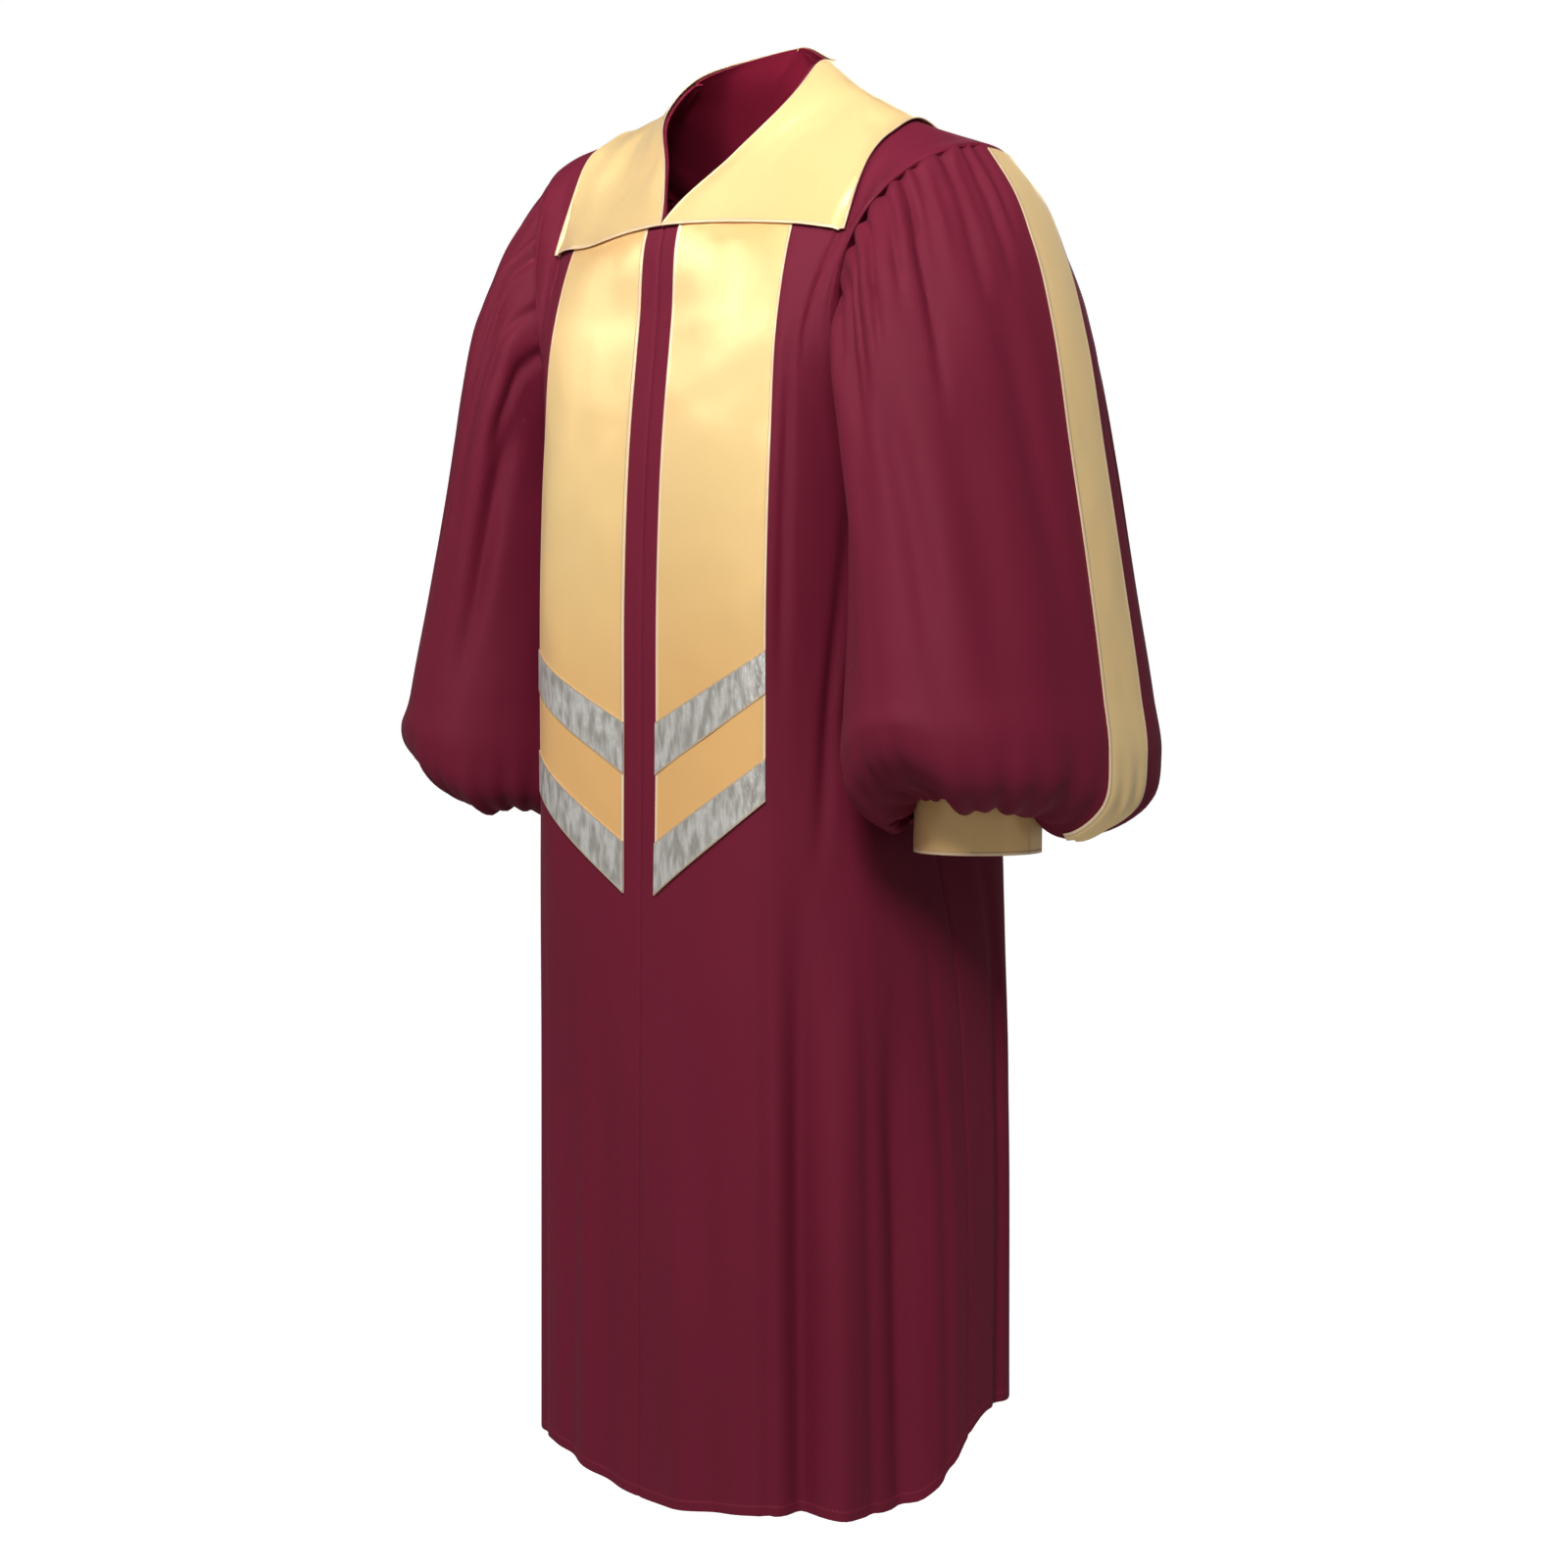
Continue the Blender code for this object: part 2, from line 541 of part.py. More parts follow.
def slanted_patch(arounds, lower, upper, rows, side):
    """A grid of the front between two slanted edges, each given as (inner, outer) heights."""
    grid = []
    for row in range(rows + 1):
        share = row / rows
        line = []
        for around in arounds:
            across = (around - STRIP_HALF_WIDTH) / (PANEL_EDGE - STRIP_HALF_WIDTH)
            bottom = lower[0] + (lower[1] - lower[0]) * across
            top = upper[0] + (upper[1] - upper[0]) * across
            height = bottom + (top - bottom) * share
            line.append(body_frame(around, length_at_height(around, height), side))
        grid.append(line)
    return grid


for old in list(bpy.data.objects):
    bpy.data.objects.remove(old, do_unlink=True)
robe = bpy.data.collections.new("choir_robe")
bpy.context.scene.collection.children.link(robe)

robe_cloth = cloth_material("robe_cloth", MAROON, 0.75, 0.3)
gold_satin = cloth_material("gold_satin", GOLD, 0.35, 0.1)
silver_satin = cloth_material("silver_satin", SILVER, 0.30, 0.1)

half_gap = SEAM_GAP / 2
half_wall = ROBE_WALL / 2
panel_steps = steps(STRIP_HALF_WIDTH, 5, PANEL_EDGE)
outer_steps = steps(PANEL_EDGE, 5, FLANK, 6, SIDE_SEAM - half_gap)[1:]
front_arounds = [half_gap] + panel_steps + outer_steps
back_arounds = [0.0] + panel_steps + outer_steps
chest = BODY_AT["chest"]
shoulder = BODY_AT["shoulder"]
front_lengths = rows(BODY_AT, *FRONT_ROWS) + steps(chest, 8, shoulder - half_gap)[1:]
back_lengths = steps(shoulder + half_gap, 6, BODY_AT["neck back"], 3, COLLAR_BACK_END)
back_lengths += steps(COLLAR_BACK_END, 4, BODY_AT["back underarm"])[1:] + rows(BODY_AT, *BACK_ROWS)[1:]
sleeve_lengths = [0.0] + rows(SLEEVE_AT, *SLEEVE_ROWS)

stole_low = half_wall + LAID_ON_GAP
stole_high = stole_low + SATIN_WALL
band_low = stole_high + LAID_ON_GAP
collar_low = stole_high + LAID_ON_GAP
collar_high = collar_low + SATIN_WALL

back_patches = []
for side, word in ((1, "left"), (-1, "right")):
    front = body_patch(front_arounds, front_lengths, side)
    sew(f"front_{word}", [front], -half_wall, half_wall, robe_cloth)
    back_patches.append(body_patch(back_arounds, back_lengths, side))

    collar_arounds = front_arounds[:front_arounds.index(FLANK) + 1]
    collar_lengths = front_lengths[front_lengths.index(chest):-1] + [shoulder]
    collar_lengths += back_lengths[1:back_lengths.index(COLLAR_BACK_END) + 1]
    collar = body_patch(collar_arounds, collar_lengths, side)
    sew(f"collar_{word}", [collar], collar_low, collar_high, gold_satin)

    stole_lengths = [length for length in front_lengths if STOLE_ROWS[0] <= length <= STOLE_ROWS[1]]
    straight = body_patch(panel_steps, stole_lengths, side)
    straight_end = (float(straight[0][0][0][2]), float(straight[0][-1][0][2]))
    stole = slanted_patch(panel_steps, STOLE_END, straight_end, 4, side)[:-1] + straight
    sew(f"stole_{word}", [stole], stole_low, stole_high, gold_satin)
    for level, lower in (("upper", UPPER_BAND_LOWER_EDGE), ("lower", STOLE_END)):
        upper = tuple(edge + depth for edge, depth in zip(lower, BAND_DEPTH))
        band = slanted_patch(panel_steps, lower, upper, 2, side)
        sew(f"band_{level}_{word}", [band], band_low, band_low + BAND_WALL, silver_satin)

    turn_step = 360 / SLEEVE_COLUMNS
    turns = [STRIPE_START_TURN - index * turn_step for index in range(SLEEVE_COLUMNS)]
    sleeve = sleeve_patch(turns, sleeve_lengths, side)
    sew(f"sleeve_{word}", [sleeve], -half_wall, half_wall, robe_cloth, wraps=True)
    stripe_lengths = [length for length in sleeve_lengths if STRIPE_TOP < length < STRIPE_END]
    stripe = sleeve_patch(turns[:STRIPE_COLUMNS + 1], [STRIPE_TOP] + stripe_lengths, side)
    sew(f"stripe_{word}", [stripe], stole_low, stole_high, gold_satin)

    cuff_grid = []
    for height in steps(CUFF_BOTTOM, 2, CUFF_TOP):
        ring = []
        for index in range(CUFF_COLUMNS):
            angle = 2 * math.pi * index / CUFF_COLUMNS
            outward = np.array((math.cos(angle), math.sin(angle), 0.0))
            point = settle(np.array((*CUFF_CENTRE, height)) + outward * CUFF_RADIUS, side)
            point[2] += RIGHT_CUFF_RISE if side < 0 else 0.0
            ring.append((point, outward * np.array((side, 1.0, 1.0))))
        cuff_grid.append(ring)
    sew(f"cuff_{word}", [cuff_grid], -SATIN_WALL / 2, SATIN_WALL / 2, gold_satin, wraps=True)

sew("back", back_patches, -half_wall, half_wall, robe_cloth)
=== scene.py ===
import math

import bpy
import numpy as np
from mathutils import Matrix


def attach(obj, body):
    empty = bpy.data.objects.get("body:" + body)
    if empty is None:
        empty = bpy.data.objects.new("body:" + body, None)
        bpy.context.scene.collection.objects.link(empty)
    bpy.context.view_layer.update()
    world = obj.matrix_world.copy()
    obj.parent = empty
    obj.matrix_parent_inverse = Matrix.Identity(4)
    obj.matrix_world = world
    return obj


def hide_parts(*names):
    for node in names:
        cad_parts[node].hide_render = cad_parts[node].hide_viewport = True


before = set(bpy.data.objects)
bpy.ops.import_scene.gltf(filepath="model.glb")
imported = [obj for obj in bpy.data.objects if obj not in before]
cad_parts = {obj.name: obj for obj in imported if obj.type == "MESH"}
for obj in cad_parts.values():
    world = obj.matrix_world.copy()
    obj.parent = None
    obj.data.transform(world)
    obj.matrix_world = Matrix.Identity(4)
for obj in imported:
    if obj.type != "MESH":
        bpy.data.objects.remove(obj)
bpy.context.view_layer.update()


# The studio: a pale floor that sweeps up into a backdrop, a soft key light high ahead of the robe,
# a smaller one that the satin mirrors, one that looks in at the neck, and weaker ones at its left
# and behind it. The camera stands forty degrees round from the front, looking slightly down.
VIEW_ANGLE = math.radians(40)
VIEW_DISTANCE = 2.55
VIEW_HEIGHT = -0.53
VIEW_ASIDE = 0.009
LOOK_DOWN = math.radians(3)
LENS = 63.0
# azimuth round from the robe's front, height, distance, width, power, colour, the height that it
# faces, and its spread; both angles in degrees
LIGHTS = {
    "key_light": (28, 1.5, 2.6, 0.8, 98, (1.0, 0.985, 0.96), -0.6, 180),
    "satin_light": (-40, 1.3, 3.0, 0.7, 22, (1.0, 0.99, 0.97), -0.6, 180),
    "neck_light": (44, 0.7, 2.9, 0.4, 0.6, (1.0, 0.99, 0.98), 0.0, 18),
    "fill_light": (84, 2.6, 2.2, 1.0, 16, (1.0, 0.99, 0.98), -0.3, 180),
    "back_light": (205, 1.0, 3.2, 1.2, 26, (1.0, 1.0, 1.0), -0.6, 180),
}
AMBIENT = 0.08
FLOOR_HEIGHT = -2.20
FLOOR_CORNERS = 48
# radius, rise above the floor's height
FLOOR_RINGS = ((0.0, 0.0), (3.0, 0.0), (6.0, 0.0), (7.4, 0.6), (7.9, 1.8), (8.0, 6.0))
FLOOR_COLOUR = (0.55, 0.55, 0.55, 1.0)
FLOOR_GLOW = 0.10
FLOOR_GLOW_SEEN = 0.86


def add_object(name, data):
    """A new object in the scene."""
    thing = bpy.data.objects.new(name, data)
    bpy.context.scene.collection.objects.link(thing)
    return thing


def new_material(name):
    """A new material and its node tree."""
    material = bpy.data.materials.new(name)
    material.use_nodes = True
    return material, material.node_tree


def set_inputs(tree, node, inputs):
    """Give a node's inputs their values, or join them to sockets."""
    for name, value in inputs.items():
        if isinstance(value, bpy.types.NodeSocket):
            tree.links.new(value, node.inputs[name])
        else:
            node.inputs[name].default_value = value


def add_node(tree, kind, settings=(), inputs=()):
    """A shader node with its settings and its inputs."""
    node = tree.nodes.new(kind)
    for name, value in dict(settings).items():
        setattr(node, name, value)
    set_inputs(tree, node, dict(inputs))
    return node


def spread_out(tree, value, low, high, start=0.0, end=1.0, kind="LINEAR"):
    """A value from start to end, spread out from low to high."""
    inputs = {"Value": value, "From Min": start, "From Max": end, "To Min": low, "To Max": high}
    settings = {"interpolation_type": kind}
    return add_node(tree, "ShaderNodeMapRange", settings, inputs).outputs["Result"]


camera = add_object("camera", bpy.data.cameras.new("camera"))
camera.location = (
    math.sin(VIEW_ANGLE) * VIEW_DISTANCE + math.cos(VIEW_ANGLE) * VIEW_ASIDE,
    -math.cos(VIEW_ANGLE) * VIEW_DISTANCE + math.sin(VIEW_ANGLE) * VIEW_ASIDE,
    VIEW_HEIGHT,
)
camera.rotation_euler = (math.radians(90) - LOOK_DOWN, 0, VIEW_ANGLE)
camera.data.sensor_width = 36.0
camera.data.lens = LENS
bpy.context.scene.camera = camera

for name, (azimuth, height, distance, width, power, colour, faces, beam) in LIGHTS.items():
    lamp = add_object(name, bpy.data.lights.new(name, "AREA"))
    lamp.data.shape = "SQUARE"
    lamp.data.size = width
    lamp.data.energy = power
    lamp.data.color = colour
    lamp.data.spread = math.radians(beam)
    angle = math.radians(azimuth)
    place = np.array((math.sin(angle) * distance, -math.cos(angle) * distance, height))
    aim = np.array((0.0, 0.0, faces)) - place
    lamp.location = place
    lamp.rotation_euler = (
        math.atan2(math.hypot(aim[0], aim[1]), -aim[2]),
        0,
        math.atan2(aim[1], aim[0]) - math.pi / 2,
    )

world = bpy.data.worlds.new("studio")
world.use_nodes = True
world_light = {"Color": (1.0, 1.0, 1.0, 1.0), "Strength": AMBIENT}
set_inputs(world.node_tree, world.node_tree.nodes["Background"], world_light)
bpy.context.scene.world = world
bpy.context.scene.view_settings.view_transform = "Standard"

floor_turns = [2 * math.pi * corner / FLOOR_CORNERS for corner in range(FLOOR_CORNERS)]
floor_points = [
    (radius * math.cos(turn), radius * math.sin(turn), FLOOR_HEIGHT + rise)
    for radius, rise in FLOOR_RINGS
    for turn in floor_turns
]
floor_faces = []
for start in range(0, FLOOR_CORNERS * (len(FLOOR_RINGS) - 1), FLOOR_CORNERS):
    for corner in range(FLOOR_CORNERS):
        beside = start + (corner + 1) % FLOOR_CORNERS
        floor_faces.append(
            (start + corner, beside, beside + FLOOR_CORNERS, start + corner + FLOOR_CORNERS)
        )
floor_mesh = bpy.data.meshes.new("floor")
floor_mesh.from_pydata(floor_points, [], floor_faces)
floor_mesh.shade_smooth()
floor = add_object("floor", floor_mesh)
floor_paper, floor_tree = new_material("floor_paper")
seen_directly = add_node(floor_tree, "ShaderNodeLightPath").outputs["Is Camera Ray"]
set_inputs(floor_tree, floor_tree.nodes["Principled BSDF"], {
    "Base Color": FLOOR_COLOUR,
    "Roughness": 0.9,
    "Emission Color": (1.0, 1.0, 1.0, 1.0),
    "Emission Strength": spread_out(floor_tree, seen_directly, FLOOR_GLOW, FLOOR_GLOW_SEEN),
})
floor_paper.cycles.emission_sampling = "NONE"
floor_mesh.materials.append(floor_paper)


# The two fronts: maroon woven polyester with a soft matt face, cut from hem to shoulder and seamed
# down the middle. They hang straight from the chest, with long soft flutes at the sides, a hem
# turned up and topstitched, and edges pressed in at every seam.
# The wearer's left is towards +X
SIDES = ((1, "left"), (-1, "right"))
STRIP_HALF_WIDTH = 0.0185
PANEL_EDGE = 0.134
FLANK = 0.210
SIDE_SEAM = 0.335
ROBE_WALL = 0.0014
SEAM_GAP = 0.0003

ARMHOLE = {
    "shoulder": (0.232, 0.015, -0.100),
    "front": (0.180, -0.125, -0.220),
    "underarm": (0.186, 0.010, -0.350),
    "back": (0.180, 0.136, -0.220),
}
# length: cloth from the front hem. neck: 1 where a row starts on the neckline. inner, corner and
# flank: points of the row. edge: height on the side seam, or turn around the armhole. wrap: how
# much the row turns towards the side at its outer end.
BODY_COLUMNS = ("name", "length", "neck", "inner", "corner", "flank", "edge", "wrap")
BODY_SECTIONS = (
    ("hem", 0.00, 0, (0, -.186, -1.291), (.134, -.172, -1.274), (.190, -.112, -1.272), -1.272, 1),
    ("calf", 0.30, 0, (0, -.184, -.990), (.134, -.171, -.986), (.187, -.110, -.980), -0.965, 1),
    ("hip", 0.56, 0, (0, -.182, -.735), (.134, -.170, -.730), (.180, -.112, -.725), -0.715, 1),
    ("loin", 0.68, 0, (0, -.181, -.612), (.134, -.170, -.610), (.168, -.118, -.607), -0.600, 1),
    ("waist", 0.80, 0, (0, -.180, -.490), (.134, -.169, -.489), (.164, -.120, -.487), -0.485, 1),
    ("underarm", 0.93, 0, (0, -.173, -.360), (.134, -.163, -.358), (.162, -.124, -.356), -0.35, 1),
    ("bust", 1.04, 0, (0, -.160, -.250), (.133, -.152, -.252), (.162, -.136, -.255), 110, .5),
    ("chest", 1.12, 0, (0, -.150, -.168), (.128, -.127, -.176), (.169, -.106, -.182), 68, .3),
    ("throat", 1.20, 1, (.0396, -.102, -.104), (.119, -.085, -.112), (.171, -.072, -.116), 36, .1),
    ("collar", 1.27, 1, (.074, -.064, -.052), (.124, -.051, -.076), (.171, -.040, -.091), 15, 0),
    ("shoulder", 1.33, 1, (.074, -.025, -.014), (.124, -.014, -.047), (.171, -.004, -.075), 0, 0),
    ("nape", 1.39, 1, (.056, .018, .008), (.121, .030, -.052), (.171, .036, -.088), -18, 0),
    ("neck back", 1.45, 1, (.0, .036, .018), (.117, .070, -.072), (.171, .076, -.110), -40, .1),
    ("blade", 1.54, 0, (0, .100, -.112), (.122, .110, -.130), (.169, .112, -.150), -64, .3),
    ("back bust", 1.64, 0, (0, .128, -.180), (.128, .134, -.235), (.163, .134, -.250), -108, .5),
    ("back underarm", 1.78, 0,
     (0, .156, -.340), (.130, .144, -.355), (.164, .118, -.356), -0.35, 1),
    ("small", 1.92, 0, (0, .164, -.480), (.130, .148, -.486), (.164, .118, -.487), -0.485, 1),
    ("seat", 2.05, 0, (0, .170, -.605), (.131, .150, -.606), (.168, .116, -.605), -0.600, 1),
    ("thigh", 2.17, 0, (0, .176, -.725), (.132, .153, -.722), (.182, .112, -.720), -0.715, 1),
    ("back calf", 2.42, 0, (0, .184, -.965), (.133, .156, -.960), (.187, .108, -.954), -0.965, 1),
    ("back hem", 2.75, 0, (0, .188, -1.290), (.134, .158, -1.276), (.189, .107, -1.272), -1.272, 1),
)
# height, half width, depth
SIDE_SEAM_SHAPE = (
    (-1.275, 0.223, 0.004),
    (-0.965, 0.218, 0.004),
    (-0.800, 0.204, 0.004),
    (-0.715, 0.184, 0.004),
    (-0.600, 0.170, 0.004),
    (-0.485, 0.170, 0.005),
    (-0.400, 0.175, 0.008),
    (-0.350, 0.186, 0.010),
)
# name, metres from the centre front at the hem, half width, depth, height where it runs out
BODY_FOLDS = (
    ("left hollow", 0.164, 0.013, -0.009, -0.80),
    ("left ridge", 0.200, 0.018, 0.008, -0.85),
    ("left side hollow", 0.249, 0.018, -0.008, -0.88),
    ("left side ridge", 0.300, 0.022, 0.005, -0.90),
    ("right hollow", -0.182, 0.017, -0.008, -0.85),
    ("right ridge", -0.226, 0.020, 0.007, -0.80),
    ("right side hollow", -0.276, 0.021, -0.008, -0.90),
    ("right side ridge", -0.322, 0.022, 0.005, -0.86),
    ("back left ridge", 0.415, 0.026, 0.006, -0.82),
    ("back left hollow", 0.475, 0.026, -0.009, -0.75),
    ("back left flute", 0.540, 0.028, 0.006, -0.70),
    ("back hollow", 0.610, 0.026, -0.008, -0.60),
    ("back right flute", -0.600, 0.028, 0.007, -0.62),
    ("back right hollow", -0.535, 0.026, -0.008, -0.72),
    ("back right ridge", -0.465, 0.028, 0.007, -0.78),
    ("back right side hollow", -0.405, 0.024, -0.007, -0.84),
)
FOLD_FADE = 0.22
# name, place at the lower end and at the upper end, cloth lengths there, half width, depth
FRONT_CREASES = (
    ("below left panel", 0.137, 0.134, 0.00, 0.64, 0.0045, -0.0026),
    ("left skirt", 0.166, 0.158, 0.00, 0.56, 0.011, -0.0065),
    ("left skirt ridge", 0.194, 0.188, 0.00, 0.46, 0.012, 0.0050),
    ("left skirt fine", 0.224, 0.214, 0.00, 0.52, 0.007, -0.0036),
    ("left side", 0.258, 0.244, 0.00, 0.44, 0.010, -0.0046),
    ("left side fine", 0.303, 0.294, 0.00, 0.54, 0.008, -0.0034),
    ("right front turn", -0.100, -0.100, 0.00, 0.70, 0.045, -0.0060),
    ("left front swell", 0.046, 0.046, 0.00, 0.66, 0.050, 0.0040),
    ("middle left", 0.084, 0.070, 0.00, 0.46, 0.018, -0.0038),
    ("middle left ridge", 0.050, 0.046, 0.00, 0.34, 0.016, 0.0022),
    ("middle right", -0.040, -0.046, 0.00, 0.54, 0.016, -0.0042),
    ("right of centre", -0.088, -0.084, 0.00, 0.40, 0.013, -0.0038),
    ("below right panel", -0.136, -0.134, 0.00, 0.60, 0.006, -0.0030),
    ("right skirt", -0.198, -0.190, 0.00, 0.52, 0.009, -0.0044),
    ("right side", -0.250, -0.238, 0.00, 0.56, 0.009, -0.0042),
    ("right side fine", -0.302, -0.296, 0.00, 0.40, 0.007, -0.0030),
    ("left chest", 0.150, 0.158, 0.70, 1.10, 0.008, -0.0034),
    ("right chest", -0.150, -0.160, 0.74, 1.08, 0.008, -0.0032),
    ("left waist drape", 0.176, 0.245, 0.54, 0.92, 0.009, -0.0042),
    ("right waist drape", -0.180, -0.250, 0.50, 0.90, 0.009, -0.0044),
    ("left underarm drape", 0.210, 0.300, 0.64, 0.95, 0.008, -0.0038),
    ("right underarm drape", -0.213, -0.300, 0.60, 0.94, 0.008, -0.0038),
    ("left shoulder pull", 0.180, 0.214, 0.98, 1.26, 0.007, -0.0026),
    ("right shoulder pull", -0.182, -0.212, 0.96, 1.24, 0.007, -0.0026),
)
# How a crease begins and runs out, in shares of its length, the lip beside it and its taper
CREASE_START = (-0.02, 0.25)
CREASE_END = (0.50, 1.02)
CREASE_LIP = 0.6
CREASE_TAPER = 1.4
HEM_DEPTH = 0.009
# How far the neckline is drawn in beside the centre back, so that it crosses it without a dip
NECK_BACK_DRAW = (0.0, 0.0279, -0.0287)

# How the worn robe sits unevenly: each pair gives where a move begins and where it is whole
RIGHT_SHOULDER_RISE = 0.036
SHOULDER_RISE_ACROSS = (0.09, 0.21)
SHOULDER_RISE_HEIGHT = (-0.34, -0.10)
LEFT_NAPE_DROP = 0.013
NAPE_DROP_DEPTH = (-0.035, 0.015)
NAPE_DROP_HEIGHT = (-0.16, -0.08)
NAPE_DROP_ACROSS = (0.0, 0.05)
NAPE_DROP_END = (0.08, 0.20)
HEM_DIP = 0.085
BACK_HEM_RISE = 0.070
BACK_HEM_DEPTH = (-0.08, 0.04)
HEM_HEIGHT = (-1.25, -0.85)
RIGHT_SLEEVE_LEAN = 0.009
SLEEVE_LEAN_ACROSS = (0.22, 0.30)
SLEEVE_LEAN_HEIGHT = (-0.34, -0.16)


def smooth_step(low, high, value):
    """0 below low, 1 above high, and a soft rise between."""
    share = np.clip((value - low) / (high - low), 0.0, 1.0)
    return share * share * (3.0 - 2.0 * share)


def rise_and_fall(rise, fall, value):
    """A soft rise from 0 to 1 and a soft fall back to 0, each between two values."""
    return smooth_step(*rise, value) * (1 - smooth_step(*fall, value))


def bulge(place, centre, spread, circle):
    """A soft hump, 1 high, round one place of a closed circle."""
    away = (place - centre + circle / 2) % circle - circle / 2
    return np.exp(-(away / spread) ** 2)


def hermite(start, end, start_slope, end_slope, width, share):
    """Points between two points, on cubics with the given slopes."""
    square = share * share
    cube = square * share
    point = (2 * cube - 3 * square + 1) * start + (3 * square - 2 * cube) * end
    return point + width * ((cube - 2 * square + share) * start_slope + (cube - square) * end_slope)


def curve(knots, values, at):
    """Read a smooth curve through values, one for each knot."""
    knots = np.array(knots, float)
    values = np.array(values, float)
    slopes = np.gradient(values, knots, axis=0)
    index = np.clip(np.searchsorted(knots, at, side="right") - 1, 0, len(knots) - 2)
    width = knots[index + 1] - knots[index]
    share = ((at - knots[index]) / width)[..., None]
    ends = values[index], values[index + 1]
    return hermite(*ends, slopes[index], slopes[index + 1], width[..., None], share)


def four_point_ring(outer, front, inner, back, turn):
    """A closed ring through four points a quarter turn apart, and its centre."""
    angle = np.radians(turn)[..., None]
    centre = (outer + front + inner + back) / 4
    second = (outer - front + inner - back) / 4
    ring = centre + (outer - inner) / 2 * np.cos(angle) + (front - back) / 2 * np.sin(angle)
    return ring + second * np.cos(2 * angle), centre


def body_column(name):
    """One named column of the body's sections."""
    position = BODY_COLUMNS.index(name)
    return np.array([row[position] for row in BODY_SECTIONS], float)


BODY_LENGTH = body_column("length")
BODY_AT = {row[0]: row[1] for row in BODY_SECTIONS}
ARMHOLE_POINTS = [np.array(ARMHOLE[name]) for name in ("shoulder", "front", "underarm", "back")]


def body_edge(length):
    """The outer edge of a body panel: the side seam below the underarm, the armhole above it."""
    edge = body_column("edge")
    front_end = list(BODY_AT).index("underarm")
    back_end = list(BODY_AT).index("back underarm")
    above = slice(front_end, back_end + 1)
    turns = edge[above].copy()
    turns[0], turns[-1] = 180.0, -180.0
    armhole, _ = four_point_ring(*ARMHOLE_POINTS, np.interp(length, BODY_LENGTH[above], turns))
    front_height = np.interp(length, BODY_LENGTH[:front_end + 1], edge[:front_end + 1])
    back_height = np.interp(length, BODY_LENGTH[back_end:], edge[back_end:])
    height = np.where(length < BODY_AT["shoulder"], front_height, back_height)
    seam_heights = [row[0] for row in SIDE_SEAM_SHAPE]
    across = curve(seam_heights, [row[1:] for row in SIDE_SEAM_SHAPE], height)
    side_seam = np.concatenate((across, height[..., None]), axis=-1)
    on_armhole = (length > BODY_LENGTH[front_end]) & (length < BODY_LENGTH[back_end])
    return np.where(on_armhole[..., None], armhole, side_seam)


def plain_body(around, length):
    """The body's cloth before its folds, on the wearer's left."""
    names = ("inner", "corner", "flank")
    points = [curve(BODY_LENGTH, body_column(name), length) for name in names]
    behind_neck = BODY_AT["neck back"] - BODY_AT["nape"]
    share = np.clip((length - BODY_AT["nape"]) / behind_neck, 0.0, 1.0)
    points[0] += (share ** 2 - share ** 3)[:, None] * np.array(NECK_BACK_DRAW)
    points[0][:, 0] = np.maximum(points[0][:, 0], 0.0)
    stations = np.stack([*points, body_edge(length)])
    neck = np.interp(length, BODY_LENGTH, body_column("neck"))[:, None]
    wrap = np.interp(length, BODY_LENGTH, body_column("wrap"))[:, None]
    direction = np.where(length < BODY_AT["shoulder"], 1.0, -1.0)[:, None]
    knots = np.array((0.0, PANEL_EDGE, FLANK, SIDE_SEAM))
    widths = np.diff(knots)
    chords = np.diff(stations, axis=0) / widths[:, None, None]
    slopes = np.stack((
        chords[0] * (neck + np.array((1.0, 0.0, 0.0)) * (1 - neck)),
        (chords[0] * widths[1] + chords[1] * widths[0]) / (widths[0] + widths[1]),
        (chords[1] * widths[2] + chords[2] * widths[1]) / (widths[1] + widths[2]),
        chords[2] * (1 - wrap) + np.array((0.0, 1.0, 0.0)) * direction * wrap,
    ))
    index = np.clip(np.searchsorted(knots, around, side="right") - 1, 0, 2)
    each = np.arange(len(around))
    width = widths[index][:, None]
    share = (around - knots[index])[:, None] / width
    ends = stations[index, each], stations[index + 1, each]
    return hermite(*ends, slopes[index, each], slopes[index + 1, each], width, share)


def normals_of(surface, first, second, first_limits, second_limits):
    """Outward normals of a surface, from its two directions at each point."""
    step = 0.0005
    low = surface(np.maximum(first - step, first_limits[0]), second)
    high = surface(np.minimum(first + step, first_limits[1]), second)
    before = surface(first, np.maximum(second - step, second_limits[0]))
    after = surface(first, np.minimum(second + step, second_limits[1]))
    normal = np.cross(high - low, after - before)
    return normal / np.linalg.norm(normal, axis=-1, keepdims=True)


def settle(point, side):
    """Move points of the even robe, on one side of the wearer, to where the worn robe has them."""
    point = point * np.array((side, 1.0, 1.0))
    across, depth, height = point[:, 0], point[:, 1], point[:, 2].copy()
    if side < 0:
        beside = smooth_step(*SHOULDER_RISE_ACROSS, -across)
        height += RIGHT_SHOULDER_RISE * beside * smooth_step(*SHOULDER_RISE_HEIGHT, height)
        lean = RIGHT_SLEEVE_LEAN * smooth_step(*SLEEVE_LEAN_ACROSS, -across)
        across = across + lean * (1 - 2 * smooth_step(*SLEEVE_LEAN_HEIGHT, height))
    else:
        behind = smooth_step(*NAPE_DROP_DEPTH, depth) * smooth_step(*NAPE_DROP_HEIGHT, height)
        beside = rise_and_fall(NAPE_DROP_ACROSS, NAPE_DROP_END, across)
        height -= LEFT_NAPE_DROP * behind * beside
    low = 1 - smooth_step(*HEM_HEIGHT, height)
    height = height + low * (BACK_HEM_RISE * smooth_step(*BACK_HEM_DEPTH, depth) - HEM_DIP * across)
    return np.stack((across, depth, height), axis=-1)


